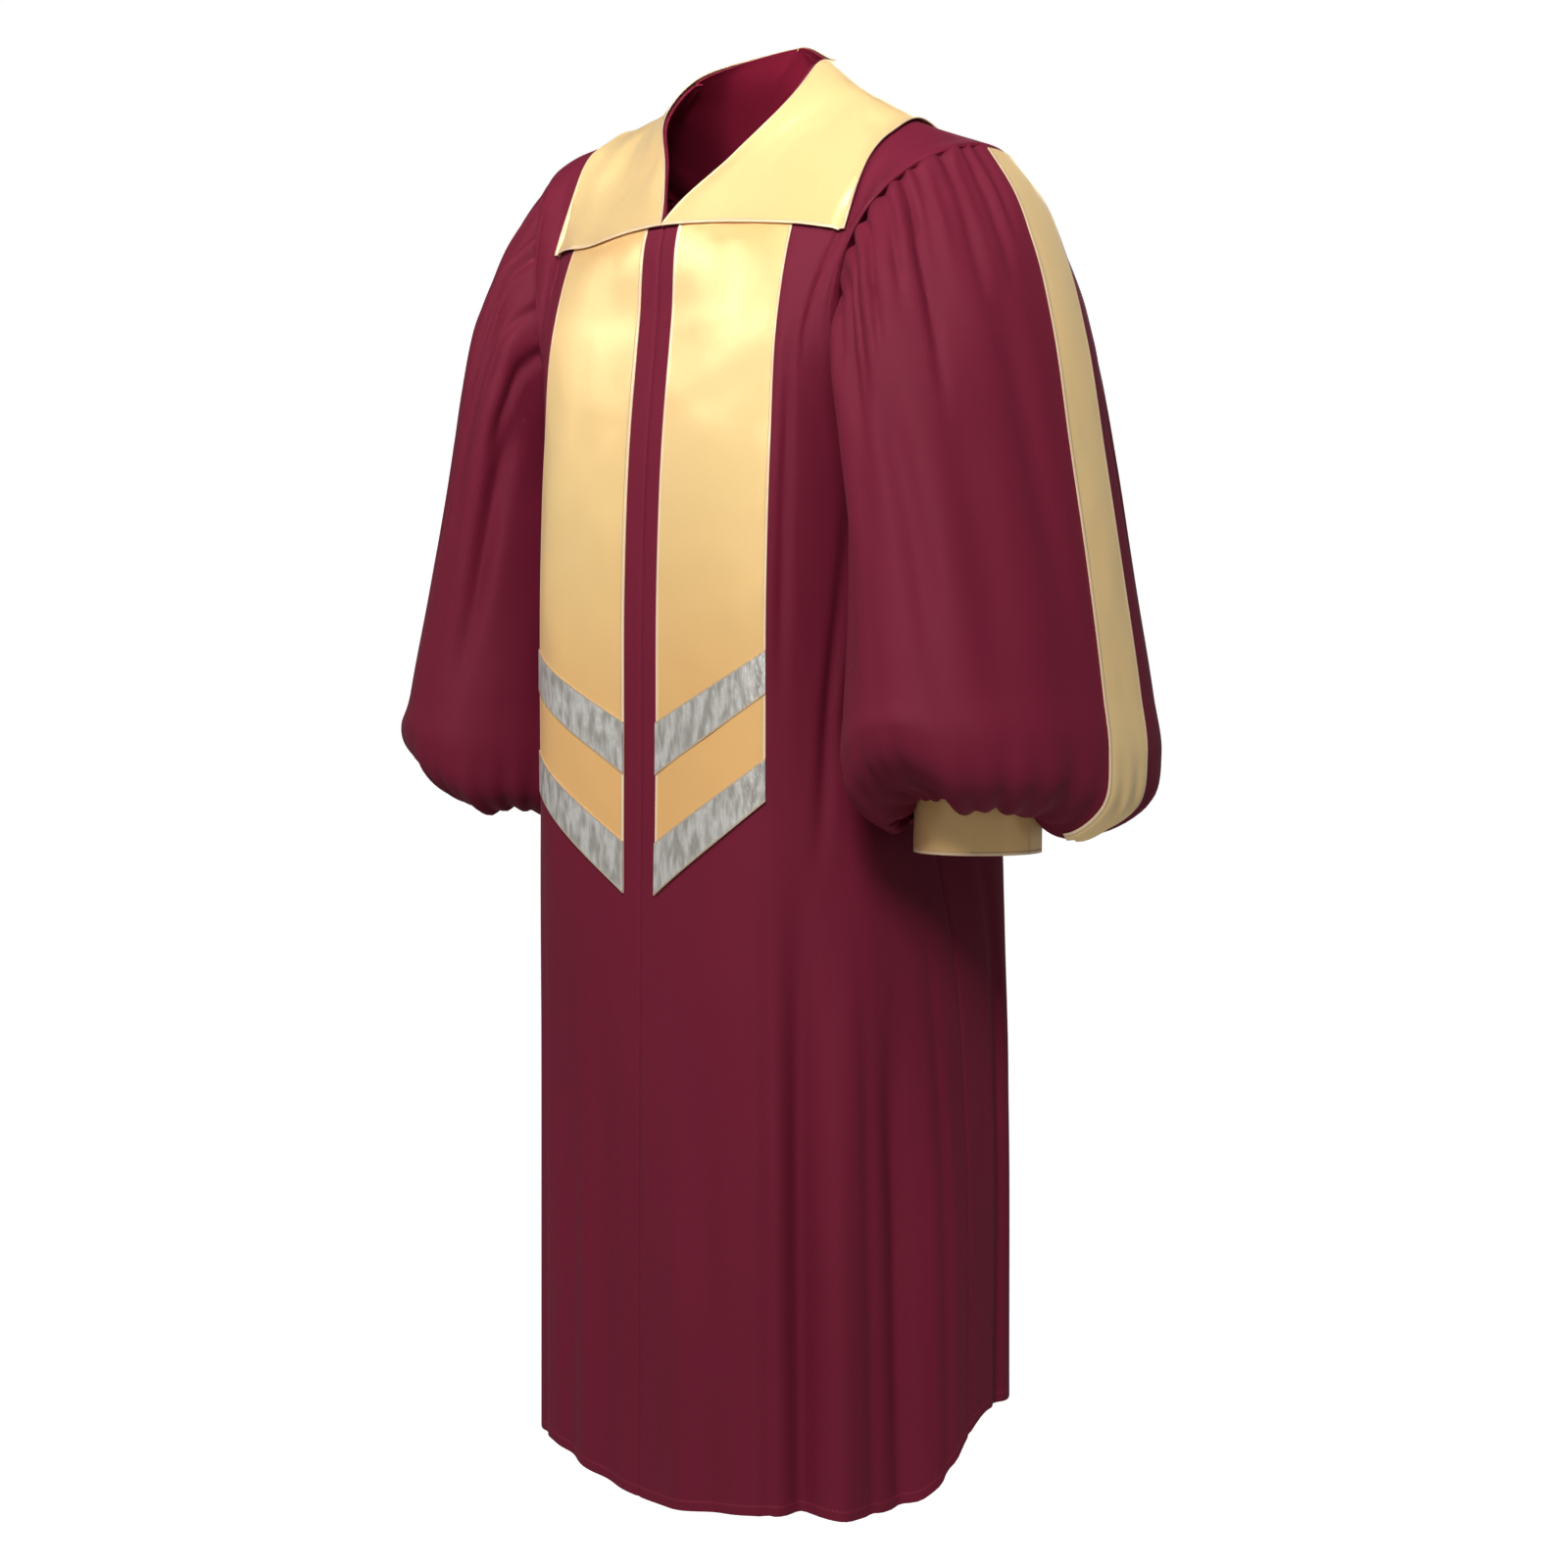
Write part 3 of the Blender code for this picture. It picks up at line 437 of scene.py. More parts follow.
def crease_depth(creases, place, length):
    """How far soft creases, each between two places of the cloth, push it out."""
    total = np.zeros(len(place))
    for _, low_place, high_place, low_length, high_length, spread, depth in creases:
        share = (length - low_length) / (high_length - low_length)
        middle = low_place + (high_place - low_place) * np.clip(share, 0.0, 1.0)
        away = (place - middle) / spread
        start = 1.0 if low_length <= 0.0 else smooth_step(*CREASE_START, share)
        strength = start * (1 - smooth_step(*CREASE_END, share))
        total += depth * strength * (1 - CREASE_LIP * away ** 2) * np.exp(-away ** 2 / CREASE_TAPER)
    return total


def body_frame(around, length, side, creases):
    """Points and outward normals of the finished body cloth, on one side of the wearer."""
    def folded(here, there):
        point = plain_body(here, there)
        place = np.where(there < BODY_AT["shoulder"], here, 2 * SIDE_SEAM - here) * side
        out = crease_depth(creases, place, there)
        for _, centre, spread, depth, top in BODY_FOLDS:
            strength = 1.0 - smooth_step(top - FOLD_FADE / 2, top + FOLD_FADE / 2, point[:, 2])
            out += depth * strength * bulge(place, centre, spread, 4 * SIDE_SEAM)
        normal = normals_of(plain_body, here, there, (0.0, SIDE_SEAM), (0.0, BODY_LENGTH[-1]))
        return settle(point + normal * out[:, None], side)

    normal = normals_of(folded, around, length, (0.0, SIDE_SEAM), (0.0, BODY_LENGTH[-1]))
    return folded(around, length), side * normal


def body_grid(arounds, lengths, side, creases=FRONT_CREASES):
    """A grid of body cloth: one row of lengths, or of lengths for each column, at the arounds."""
    lengths = lengths if lengths.ndim > 1 else lengths[:, None]
    around, length = np.broadcast_arrays(arounds[None, :], lengths)
    points, normals = body_frame(around.ravel(), length.ravel(), side, creases)
    shape = (*around.shape, 3)
    return {
        "points": points.reshape(shape),
        "normals": normals.reshape(shape),
        "cloth": np.stack((around * side, length), axis=-1),
    }


def places(*stops):
    """Places from stop to stop: (start, count, stop, count, stop ...), shared out evenly."""
    found = [np.array([stops[0]])]
    for start, count, stop in zip(stops[0::2], stops[1::2], stops[2::2]):
        found.append(np.linspace(start, stop, count + 1)[1:])
    return np.concatenate(found)


def with_allowance(grid, place):
    """Add a seam's turned-in allowance past one side of a grid, which goes under its neighbour."""
    picks = {
        "first column": (np.s_[:, :1], np.s_[:, 1:2], 1),
        "last column": (np.s_[:, -1:], np.s_[:, -2:-1], 1),
        "last row": (np.s_[-1:], np.s_[-2:-1], 0),
    }
    edge, beside, axis = picks[place]
    away = grid["points"][edge] - grid["points"][beside]
    away /= np.linalg.norm(away, axis=-1, keepdims=True)
    added = {part: values[edge] for part, values in grid.items()}
    added["points"] = added["points"] + away * ALLOWANCE - added["normals"] * ALLOWANCE_DEPTH
    first = place.startswith("first")
    return {
        part: np.concatenate((added[part], values) if first else (values, added[part]), axis=axis)
        for part, values in grid.items()
    }


def give_values(mesh, name, values):
    """Give each point of a mesh a value that its material reads."""
    layer = mesh.attributes.new(name, "FLOAT", "POINT")
    layer.data.foreach_set("value", np.ravel(values).astype(np.float32))


def sew(cad_node, stuff, grid, wall, lift, edge, wraps=False, opening=None):
    """Make a thin shell from a grid, lifted off it, with its cloth coordinates and its edge."""
    word, material, slot = stuff
    points, normals = grid["points"], grid["normals"]
    rows, columns = points.shape[:2]
    total = rows * columns
    lift = np.broadcast_to(lift, (rows, columns))[..., None]
    layers = (points + normals * (lift + wall / 2), points + normals * (lift - wall / 2))
    index = np.arange(total).reshape(rows, columns)
    ring = np.concatenate((index, index[:, :1]), axis=1) if wraps else index
    outer = np.stack((ring[:-1, :-1], ring[:-1, 1:], ring[1:, 1:], ring[1:, :-1]), axis=-1)
    outer = outer.reshape(-1, 4) if opening is None else outer[~opening]
    under = outer[:, ::-1] + total
    sides = np.concatenate([outer[:, (first, (first + 1) % 4)] for first in range(4)])
    shared = np.isin(sides @ (total, 1), sides @ (1, total))
    rims = sides[~shared]
    faces = np.concatenate((outer, under, np.concatenate((rims[:, ::-1], rims + total), axis=1)))
    middle = outer[len(outer) // 2]
    corner = layers[0].reshape(-1, 3)[middle]
    facing = np.cross(corner[1] - corner[0], corner[3] - corner[0])
    if facing @ normals.reshape(-1, 3)[middle[0]] < 0:
        faces = faces[:, ::-1]
    mesh = bpy.data.meshes.new(f"{cad_node}_{word}")
    both = np.concatenate([layer.reshape(-1, 3) for layer in layers])
    mesh.from_pydata(both.tolist(), [], faces.tolist())
    cloth = np.tile(grid["cloth"].reshape(-1, 2), (2, 1))
    corners = np.empty(len(mesh.loops), dtype=np.int32)
    mesh.loops.foreach_get("vertex_index", corners)
    mesh.uv_layers.new(name="cloth").data.foreach_set("uv", cloth[corners].ravel())
    give_values(mesh, "edge", np.tile(np.broadcast_to(edge, (rows, columns)).ravel(), 2))
    give_values(mesh, "inside", np.repeat((0.0, 1.0), total))
    mesh.shade_smooth()
    mesh.set_sharp_from_angle(angle=math.radians(60))
    mesh.materials.append(material)
    piece = add_object(mesh.name, mesh)
    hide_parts(cad_node)
    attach(piece, "root")
    return piece


def maths(tree, kind, first, second=0.0):
    """The outcome of a Math node."""
    return add_node(tree, "ShaderNodeMath", {"operation": kind}, {0: first, 1: second}).outputs[0]


def times(tree, first, second):
    """The product of two values."""
    return maths(tree, "MULTIPLY", first, second)


def noise(tree, place, scale, detail, roughness=0.5):
    """Soft noise from 0 to 1 over the cloth."""
    inputs = {"Vector": place, "Scale": scale, "Detail": detail, "Roughness": roughness}
    return add_node(tree, "ShaderNodeTexNoise", (), inputs).outputs["Fac"]


def cloth_axes(tree):
    """The cloth's own coordinates, and their parts across and along it."""
    place = add_node(tree, "ShaderNodeUVMap", {"uv_map": "cloth"}).outputs[0]
    parts = add_node(tree, "ShaderNodeSeparateXYZ", (), {0: place}).outputs
    return place, parts["X"], parts["Y"]


def point_value(tree, name):
    """A value that the points of a piece carry."""
    return add_node(tree, "ShaderNodeAttribute", {"attribute_name": name}).outputs["Fac"]


def new_group(name, inputs, outputs):
    """A shader group with named float inputs and outputs: its tree, its inputs and its end."""
    group = bpy.data.node_groups.new(name, "ShaderNodeTree")
    for title, value in inputs.items():
        socket = group.interface.new_socket(title, in_out="INPUT", socket_type="NodeSocketFloat")
        socket.default_value = value
    for title in outputs:
        group.interface.new_socket(title, in_out="OUTPUT", socket_type="NodeSocketFloat")
    return group, add_node(group, "NodeGroupInput").outputs, add_node(group, "NodeGroupOutput")


# Threads over and under each other, on the cloth's own coordinates, with uneven thickness
SLUBS_PER_METRE = 420.0
weave_group, given, end = new_group(
    "woven_threads", {"Thread": 0.0011, "Twill": 0.0}, ("Height", "Tone")
)
place, across, along = cloth_axes(weave_group)
turns = maths(weave_group, "DIVIDE", 2 * math.pi, given["Thread"])
warp, weft = times(weave_group, across, turns), times(weave_group, along, turns)
warp = maths(weave_group, "ADD", warp, times(weave_group, weft, given["Twill"]))
threads = times(weave_group, maths(weave_group, "SINE", warp), maths(weave_group, "SINE", weft))
threads = times(weave_group, threads, 0.5)
slubs = noise(weave_group, place, SLUBS_PER_METRE, 2.0)
set_inputs(weave_group, end, {
    "Height": maths(weave_group, "ADD", threads, slubs),
    "Tone": slubs,
})

# The shallow unevenness of hanging cloth, drawn out along its length
rumple_group, given, end = new_group(
    "soft_rumples", {"Across": 26.0, "Along": 7.0}, ("Height", "Tone")
)
_, across, along = cloth_axes(rumple_group)
place = add_node(rumple_group, "ShaderNodeCombineXYZ", (), {
    "X": times(rumple_group, across, given["Across"]),
    "Y": times(rumple_group, along, given["Along"]),
}).outputs[0]
set_inputs(rumple_group, end, {
    "Height": noise(rumple_group, place, 1.0, 1.5, 0.4),
    "Tone": noise(rumple_group, place, 0.35, 1.0),
})

# A turned and stitched edge: Band is 1 on the turned strip and Stitch is 1 on its row of stitches
edge_group, given, end = new_group(
    "stitched_edge", {"Depth": 0.003, "Stitch": 0.003}, ("Band", "Stitch")
)
share = maths(edge_group, "DIVIDE", point_value(edge_group, "edge"), given["Depth"])
_, across, along = cloth_axes(edge_group)
stitches = maths(edge_group, "ADD", across, along)
stitches = maths(edge_group, "DIVIDE", stitches, given["Stitch"])
wave = maths(edge_group, "SINE", times(edge_group, stitches, 2 * math.pi))
dash = spread_out(edge_group, wave, 0.0, 1.0, -0.3, 0.3)
off_line = maths(edge_group, "ABSOLUTE", maths(edge_group, "SUBTRACT", share, 1.0))
line = spread_out(edge_group, off_line, 1.0, 0.0, 0.04, 0.12, "SMOOTHSTEP")
set_inputs(edge_group, end, {
    "Band": spread_out(edge_group, share, 1.0, 0.0, 0.75, 1.15, "SMOOTHSTEP"),
    "Stitch": times(edge_group, dash, line),
})


def new_cloth(name, weave, rumples, edge):
    """A cloth's material and node tree, and what its weave, rumples and stitched edge give."""
    material, tree = new_material(name)
    given = []
    for group, values in ((weave_group, weave), (rumple_group, rumples), (edge_group, edge)):
        node = tree.nodes.new("ShaderNodeGroup")
        node.node_tree = group
        set_inputs(tree, node, values)
        given.append(node.outputs)
    return material, tree, *given


def blend_colours(tree, share, first, second):
    """The colour between two, each a colour or a socket."""
    inputs = {"Factor": share, 6: first, 7: second}
    return add_node(tree, "ShaderNodeMix", {"data_type": "RGBA"}, inputs).outputs[2]


def raised(tree, height, strength, distance, under=None):
    """The normals of a face on which a height stands up, over the normals under it."""
    inputs = {"Height": height, "Strength": strength, "Distance": distance}
    if under is not None:
        inputs["Normal"] = under
    return add_node(tree, "ShaderNodeBump", (), inputs).outputs["Normal"]


MAROON_LIT = (0.166, 0.0082, 0.0310, 1.0)
MAROON_DEEP = (0.110, 0.0045, 0.0175, 1.0)
MAROON_STITCH = (0.210, 0.020, 0.042, 1.0)
# Painted light: the inner layer is painted brighter than the outer, so that the inside of the neck
# looks lit where the lamps hardly reach
MAROON_INSIDE_PAINTED_LIGHT = (0.240, 0.0080, 0.0330, 1.0)
MAROON_SHEEN = (0.95, 0.30, 0.42, 1.0)
maroon_cloth, tree, weave, rumples, edge = new_cloth(
    "maroon_cloth",
    {"Thread": 0.0012, "Twill": 0.5},
    {"Across": 15.0, "Along": 5.0},
    {"Depth": HEM_DEPTH, "Stitch": 0.0032},
)
colour = blend_colours(tree, rumples["Tone"], MAROON_DEEP, MAROON_LIT)
colour = blend_colours(tree, times(tree, weave["Tone"], 0.35), colour, MAROON_LIT)
# Painted light: every inner layer takes the brighter inside colour
colour = blend_colours(tree, point_value(tree, "inside"), colour, MAROON_INSIDE_PAINTED_LIGHT)
relief = raised(tree, rumples["Height"], 0.8, 0.0070)
relief = raised(tree, edge["Band"], 0.8, 0.0006, relief)
set_inputs(tree, tree.nodes["Principled BSDF"], {
    "Base Color": blend_colours(tree, times(tree, edge["Stitch"], 0.7), colour, MAROON_STITCH),
    "Roughness": spread_out(tree, weave["Tone"], 0.62, 0.80),
    "Specular IOR Level": 0.20,
    "Sheen Weight": 0.03,
    "Sheen Roughness": 0.40,
    "Sheen Tint": MAROON_SHEEN,
    "Normal": raised(tree, weave["Height"], 0.45, 0.00012, relief),
})
maroon = ("cloth", maroon_cloth, "robe_cloth")

SEAM_PRESS = 0.0011
SEAM_PRESS_WIDTH = 0.0022
ALLOWANCE = 0.0050
ALLOWANCE_DEPTH = 0.0022
# The strips beside a seam and above the hem that have finer rows
SEAM_STRIP = 0.004
HEM_STRIP = 0.012
half_gap = SEAM_GAP / 2
outer_columns = (FLANK, 24, SIDE_SEAM - SEAM_STRIP, 3, SIDE_SEAM - half_gap)
seam_columns = places(
    half_gap, 3, SEAM_STRIP, 3, STRIP_HALF_WIDTH, 26, PANEL_EDGE, 17, *outer_columns
)
front_rows = places(
    0.0, 4, HEM_STRIP, 100, BODY_AT["waist"], 48, BODY_AT["chest"],
    34, BODY_AT["shoulder"] - SEAM_STRIP, 3, BODY_AT["shoulder"] - half_gap,
)


def pressed_in(*distances):
    """How far cloth is pressed in beside its seams, from the distances to them."""
    return -sum(SEAM_PRESS * np.exp(-(distance / SEAM_PRESS_WIDTH) ** 2) for distance in distances)


for side, word in SIDES:
    front_grid = body_grid(seam_columns, front_rows, side)
    if side > 0:
        front_grid = with_allowance(front_grid, "first column")
    front_grid = with_allowance(front_grid, "last row")
    around, length = np.abs(front_grid["cloth"][..., 0]), front_grid["cloth"][..., 1]
    front_press = pressed_in(around, SIDE_SEAM - around, BODY_AT["shoulder"] - length)
    front = sew(f"front_{word}", maroon, front_grid, ROBE_WALL, front_press, length)


# The back: one width of the same cloth from shoulder to hem, fuller than the fronts, so that it
# falls in broad flutes from the shoulder blades. Its creases are given one by one, because the
# photograph doesn't show it.
BLADE_END = 1.80
LEAST_NECK_HALF_WIDTH = 0.0004
# name, place at the lower end and at the upper end, cloth lengths from the back hem there, half
# width, depth
BACK_CREASES = (
    ("left flute", 0.583, 0.604, 0.00, 1.09, 0.017, -0.0085),
    ("left inner ridge", 0.552, 0.568, 0.00, 0.89, 0.014, 0.0050),
    ("left inner", 0.518, 0.545, 0.00, 0.97, 0.013, -0.0075),
    ("left outer", 0.452, 0.474, 0.00, 0.79, 0.011, -0.0062),
    ("left side", 0.390, 0.402, 0.00, 0.69, 0.010, -0.0050),
    ("middle ridge", 0.630, 0.640, 0.00, 0.91, 0.020, 0.0060),
    ("right flute", -0.572, -0.596, 0.00, 1.03, 0.018, -0.0088),
    ("right inner ridge", -0.534, -0.556, 0.00, 0.85, 0.014, 0.0046),
    ("right inner", -0.498, -0.530, 0.00, 0.91, 0.013, -0.0070),
    ("right outer", -0.434, -0.456, 0.00, 0.75, 0.010, -0.0060),
    ("right side", -0.378, -0.390, 0.00, 0.65, 0.009, -0.0048),
    ("left blade fall", 0.500, 0.470, 0.69, 1.15, 0.012, -0.0034),
    ("right blade fall", -0.492, -0.466, 0.73, 1.13, 0.012, -0.0034),
)


def back_half(arounds, lengths, side):
    """A grid of one half of the back, with its creases, which run up from the back hem."""
    grid = body_grid(arounds, lengths, side, ())
    place = (2 * SIDE_SEAM - np.abs(grid["cloth"][..., 0])) * side
    from_hem = BODY_AT["back hem"] - grid["cloth"][..., 1]
    out = crease_depth(BACK_CREASES, place.ravel(), from_hem.ravel()).reshape(place.shape)
    grid["points"] = grid["points"] + grid["normals"] * out[..., None]
    return grid


back_columns = places(0.0, 30, PANEL_EDGE, 17, *outer_columns)
back_rows = places(
    BODY_AT["shoulder"] + half_gap, 3, BODY_AT["shoulder"] + SEAM_STRIP, 24, BODY_AT["neck back"],
    50, BLADE_END, 120, BODY_AT["back hem"] - HEM_STRIP, 4, BODY_AT["back hem"],
)
left_back, right_back = (back_half(back_columns, back_rows, side) for side in (1, -1))
on_neckline = back_rows < BODY_AT["neck back"] - 1e-6
on_neckline &= left_back["points"][:, 0, 0] > LEAST_NECK_HALF_WIDTH
right_of_neck = len(back_columns) - 2
back_grid = {}
for part, values in left_back.items():
    back_grid[part] = np.concatenate((right_back[part][:, :0:-1], values), axis=1)
    back_grid[part][on_neckline, right_of_neck] = right_back[part][on_neckline, 0]
for place in ("first column", "last column"):
    back_grid = with_allowance(back_grid, place)
neck_opening = np.zeros([count - 1 for count in back_grid["points"].shape[:2]], bool)
neck_opening[on_neckline[:-1], right_of_neck + 1] = True
around, length = np.abs(back_grid["cloth"][..., 0]), back_grid["cloth"][..., 1]
back_press = pressed_in(SIDE_SEAM - around, length - BODY_AT["shoulder"])
from_hem = BODY_AT["back hem"] - length
back = sew("back", maroon, back_grid, ROBE_WALL, back_press, from_hem, opening=neck_opening)


# The two front panels: gold satin strips laid on the fronts from under the collar, each ending in
# a slant that makes half of the point. Their edges are turned under and stitched down, which
# shows as a thin paler line.
SATIN_WALL = 0.0009
LAYER_GAP = 0.0004
LAID_ON = ROBE_WALL / 2 + LAYER_GAP + SATIN_WALL / 2
STOLE_TOP = 1.16
STOLE_END = (-0.7535, -0.667)
GOLD_PALE = (0.930, 0.715, 0.330, 1.0)
GOLD_DEEP = (0.860, 0.460, 0.155, 1.0)
GOLD_EDGE = (0.930, 0.690, 0.440, 1.0)
GOLD_SEAM = (0.620, 0.330, 0.110, 1.0)
TURNED_EDGE = 0.0030
PANEL_ROLL = 0.0005
PANEL_HALF_WIDTH = 0.0577
# How warm the satin's colour is, 0 for pale gold to 1 for deep orange, and where painted shade
# makes it deeper orange: low on the panels and just under the collar
WARMTH = 0.06
LOW_PAINTED_SHADE = 0.60
LOW_PAINTED_SHADE_HEIGHT = (-0.70, -0.34)
TOP_PAINTED_SHADE = 0.45
TOP_PAINTED_SHADE_HEIGHT = (-0.215, -0.165)

gold_satin, tree, weave, rumples, edge = new_cloth(
    "gold_satin_cloth",
    {"Thread": 0.0006, "Twill": 1.0},
    {"Across": 16.0, "Along": 11.0},
    {"Depth": TURNED_EDGE, "Stitch": 0.0026},
)
# The satin's colour: random rumples, plus the warmth and painted shade that each point carries
tone = maths(tree, "ADD", times(tree, rumples["Tone"], 0.45), point_value(tree, "warmth_and_painted_shade"))
colour = blend_colours(tree, tone, GOLD_PALE, GOLD_DEEP)
colour = blend_colours(tree, edge["Band"], colour, GOLD_EDGE)
relief = raised(tree, rumples["Height"], 0.6, 0.0080)
relief = raised(tree, edge["Band"], 0.9, 0.0007, relief)
set_inputs(tree, tree.nodes["Principled BSDF"], {
    "Base Color": blend_colours(tree, times(tree, edge["Stitch"], 0.55), colour, GOLD_SEAM),
    "Roughness": spread_out(tree, weave["Tone"], 0.28, 0.38),
    "Metallic": 0.22,
    "Specular IOR Level": 0.70,
    "Anisotropic": 0.45,
    "Sheen Weight": 0.10,
    "Normal": raised(tree, weave["Height"], 0.3, 0.00005, relief),
})
gold = ("satin", gold_satin, "gold_satin")


def length_at_height(arounds, heights):
    """The cloth lengths from the front hem at which columns of the front are at heights."""
    lengths = np.linspace(0.0, BODY_AT["throat"], 60)
    found = []
    for around, height in zip(arounds, heights):
        column = plain_body(np.full(len(lengths), around), lengths)[:, 2]
        found.append(np.interp(height, column, lengths))
    return np.array(found)


def slanted(arounds, heights):
    """The cloth lengths along a slant, from its heights at a panel's inner and outer edge."""
    across = (arounds - STRIP_HALF_WIDTH) / (PANEL_EDGE - STRIP_HALF_WIDTH)
    return length_at_height(arounds, heights[0] + (heights[1] - heights[0]) * across)


panel_columns = places(
    STRIP_HALF_WIDTH, 2, STRIP_HALF_WIDTH + SEAM_STRIP, 24, PANEL_EDGE - SEAM_STRIP, 2, PANEL_EDGE
)
panel_low = slanted(panel_columns, STOLE_END)
stole_shares = places(0.0, 2, 0.006, 130, 1.0)[:, None]
stole_lengths = panel_low + (STOLE_TOP - panel_low) * stole_shares
inside = np.minimum(panel_columns - STRIP_HALF_WIDTH, PANEL_EDGE - panel_columns)
stole_edge = np.minimum(inside, stole_lengths - panel_low)
stole_lift = LAID_ON + PANEL_ROLL * np.sin(np.pi * np.clip(inside / PANEL_HALF_WIDTH, 0, 1))
for side, word in SIDES:
    stole_grid = body_grid(panel_columns, stole_lengths, side)
    stole = sew(f"stole_{word}", gold, stole_grid, SATIN_WALL, stole_lift, stole_edge)
    # Painted shade: the panels are painted deeper orange low down, where the satin mirrors less
    # light, and just under the collar, where its shadow falls
    height = stole_grid["points"][..., 2]
    low_painted_shade = LOW_PAINTED_SHADE * (1 - smooth_step(*LOW_PAINTED_SHADE_HEIGHT, height))
    top_painted_shade = TOP_PAINTED_SHADE * smooth_step(*TOP_PAINTED_SHADE_HEIGHT, height)
    give_values(stole.data, "warmth_and_painted_shade", np.tile((WARMTH + low_painted_shade + top_painted_shade).ravel(), 2))


# The four chevron bands: silver metallic ribbon sewn flat on the panels, the lower one along each
# panel's end and the upper one above a gap of gold. The ribbon is crinkled, and its glitter is
# painted into its colour as short upright streaks of painted highlight.
BAND_WALL = 0.0008
BAND_LIFT = LAID_ON + SATIN_WALL / 2 + LAYER_GAP + BAND_WALL / 2
BAND_DEPTH = (0.046, 0.037)
BAND_LOWER_EDGES = {"upper": (-0.648, -0.575), "lower": STOLE_END}
SILVER_PAINTED_GLINT = (0.880, 0.860, 0.820, 1.0)
SILVER_GREY = (0.540, 0.515, 0.475, 1.0)
SILVER_EDGE = (0.780, 0.640, 0.480, 1.0)

silver_ribbon, tree, weave, crinkle_and_glitter, edge = new_cloth(
    "silver_ribbon_cloth",
    {"Thread": 0.0010, "Twill": 0.0},
    {"Across": 420.0, "Along": 120.0},
    {"Depth": 0.0020, "Stitch": 0.0026},
)
# Painted highlights: short upright streaks of the bright silver stand in for the ribbon's glitter
painted_glints = spread_out(tree, crinkle_and_glitter["Tone"], 0.0, 1.0, 0.36, 0.60)
colour = blend_colours(tree, painted_glints, SILVER_GREY, SILVER_PAINTED_GLINT)
relief = raised(tree, crinkle_and_glitter["Height"], 0.9, 0.0012)
set_inputs(tree, tree.nodes["Principled BSDF"], {
    "Base Color": blend_colours(tree, edge["Band"], colour, SILVER_EDGE),
    "Roughness": spread_out(tree, weave["Tone"], 0.26, 0.46),
    "Metallic": 0.65,
    "Normal": raised(tree, weave["Height"], 0.5, 0.0001, relief),
})
silver = ("ribbon", silver_ribbon, "silver_satin")
band_shares = places(0.0, 2, 0.08, 10, 0.92, 2, 1.0)[:, None]

for side, word in SIDES:
    for level, lower in BAND_LOWER_EDGES.items():
        band_low = slanted(panel_columns, lower)
        band_high = slanted(panel_columns, [edge + depth for edge, depth in zip(lower, BAND_DEPTH)])
        band_lengths = band_low + (band_high - band_low) * band_shares
        band_grid = body_grid(panel_columns, band_lengths, side)
        band_edge = np.minimum(band_lengths - band_low, band_high - band_lengths)
        band = sew(f"band_{level}_{word}", silver, band_grid, BAND_WALL, BAND_LIFT, band_edge)


# The collar: two halves of the same gold satin, each one piece from the notch at the throat over
# the shoulder to the centre back. It is folded over at the neckline and lies on the robe, its
# outer edges turned under, lifting a little off the cloth.
COLLAR_BACK_END = 1.540
COLLAR_LIFT = LAID_ON + SATIN_WALL / 2 + LAYER_GAP + SATIN_WALL / 2
COLLAR_EDGE_RISE = 0.0016
COLLAR_EDGE_ROLL = 0.010
COLLAR_CORNER_DROP = {"left": 0.0, "right": 0.012}
COLLAR_STRIP = 0.005
DEEPEST_DRAPE = -0.0002
DRAPE_START = (0.0, 0.02)
collar_columns = places(half_gap, 3, COLLAR_STRIP, 44, FLANK - COLLAR_STRIP, 3, FLANK)
collar_rows = places(
    BODY_AT["chest"], 3, BODY_AT["chest"] + COLLAR_STRIP, 40, BODY_AT["shoulder"],
    24, BODY_AT["neck back"], 16, COLLAR_BACK_END - COLLAR_STRIP, 3, COLLAR_BACK_END,
)
# name, place at the lower end and at the upper end, cloth lengths there, half width, depth
COLLAR_CREASES = (
    ("roll at the notch", 0.030, 0.010, 1.14, 1.24, 0.018, 0.0016),
    ("front drape", 0.120, 0.090, 1.12, 1.26, 0.022, -0.0016),
    ("shoulder drape", 0.165, 0.150, 1.16, 1.36, 0.020, 0.0018),
)
for side, word in SIDES:
    row_share = smooth_step(BODY_AT["throat"], BODY_AT["chest"], collar_rows)[:, None]
    corner_drop = COLLAR_CORNER_DROP[word] * (collar_columns / FLANK)[None, :] ** 1.5
    collar_lengths = collar_rows[:, None] - corner_drop * row_share
    collar_grid = body_grid(collar_columns, collar_lengths, side)
    around, length = np.abs(collar_grid["cloth"][..., 0]), collar_grid["cloth"][..., 1]
    outer_distance = np.minimum(FLANK - around, length - length[:1])
    outer_distance = np.minimum(outer_distance, COLLAR_BACK_END - length)
    on_neck = (length > BODY_AT["chest"]) & (length < BODY_AT["neck back"])
    collar_edge = np.minimum(outer_distance, np.where(on_neck, around + 0.0002, 1.0))
    edge_roll = np.exp(-(outer_distance / COLLAR_EDGE_ROLL) ** 2)
    collar_lift = COLLAR_LIFT + COLLAR_EDGE_RISE * edge_roll
    drape = crease_depth(COLLAR_CREASES, around.ravel(), length.ravel()).reshape(around.shape)
    drape = np.maximum(drape, DEEPEST_DRAPE) * smooth_step(*DRAPE_START, outer_distance)
    collar_lift = collar_lift + drape
    collar = sew(f"collar_{word}", gold, collar_grid, SATIN_WALL, collar_lift, collar_edge)
    give_values(collar.data, "warmth_and_painted_shade", np.full(2 * around.size, WARMTH))


# The two sleeves: full bell-shaped pieces of the maroon cloth, gathered into the armhole over the
# shoulder and into the cuff, so that they puff out and roll under above it. The head's gathers
# fan out from the seam, and a deep fold runs down beside the chest.
SLEEVE_SQUARENESS = 0.022
SQUARER = (0.05, 0.30)
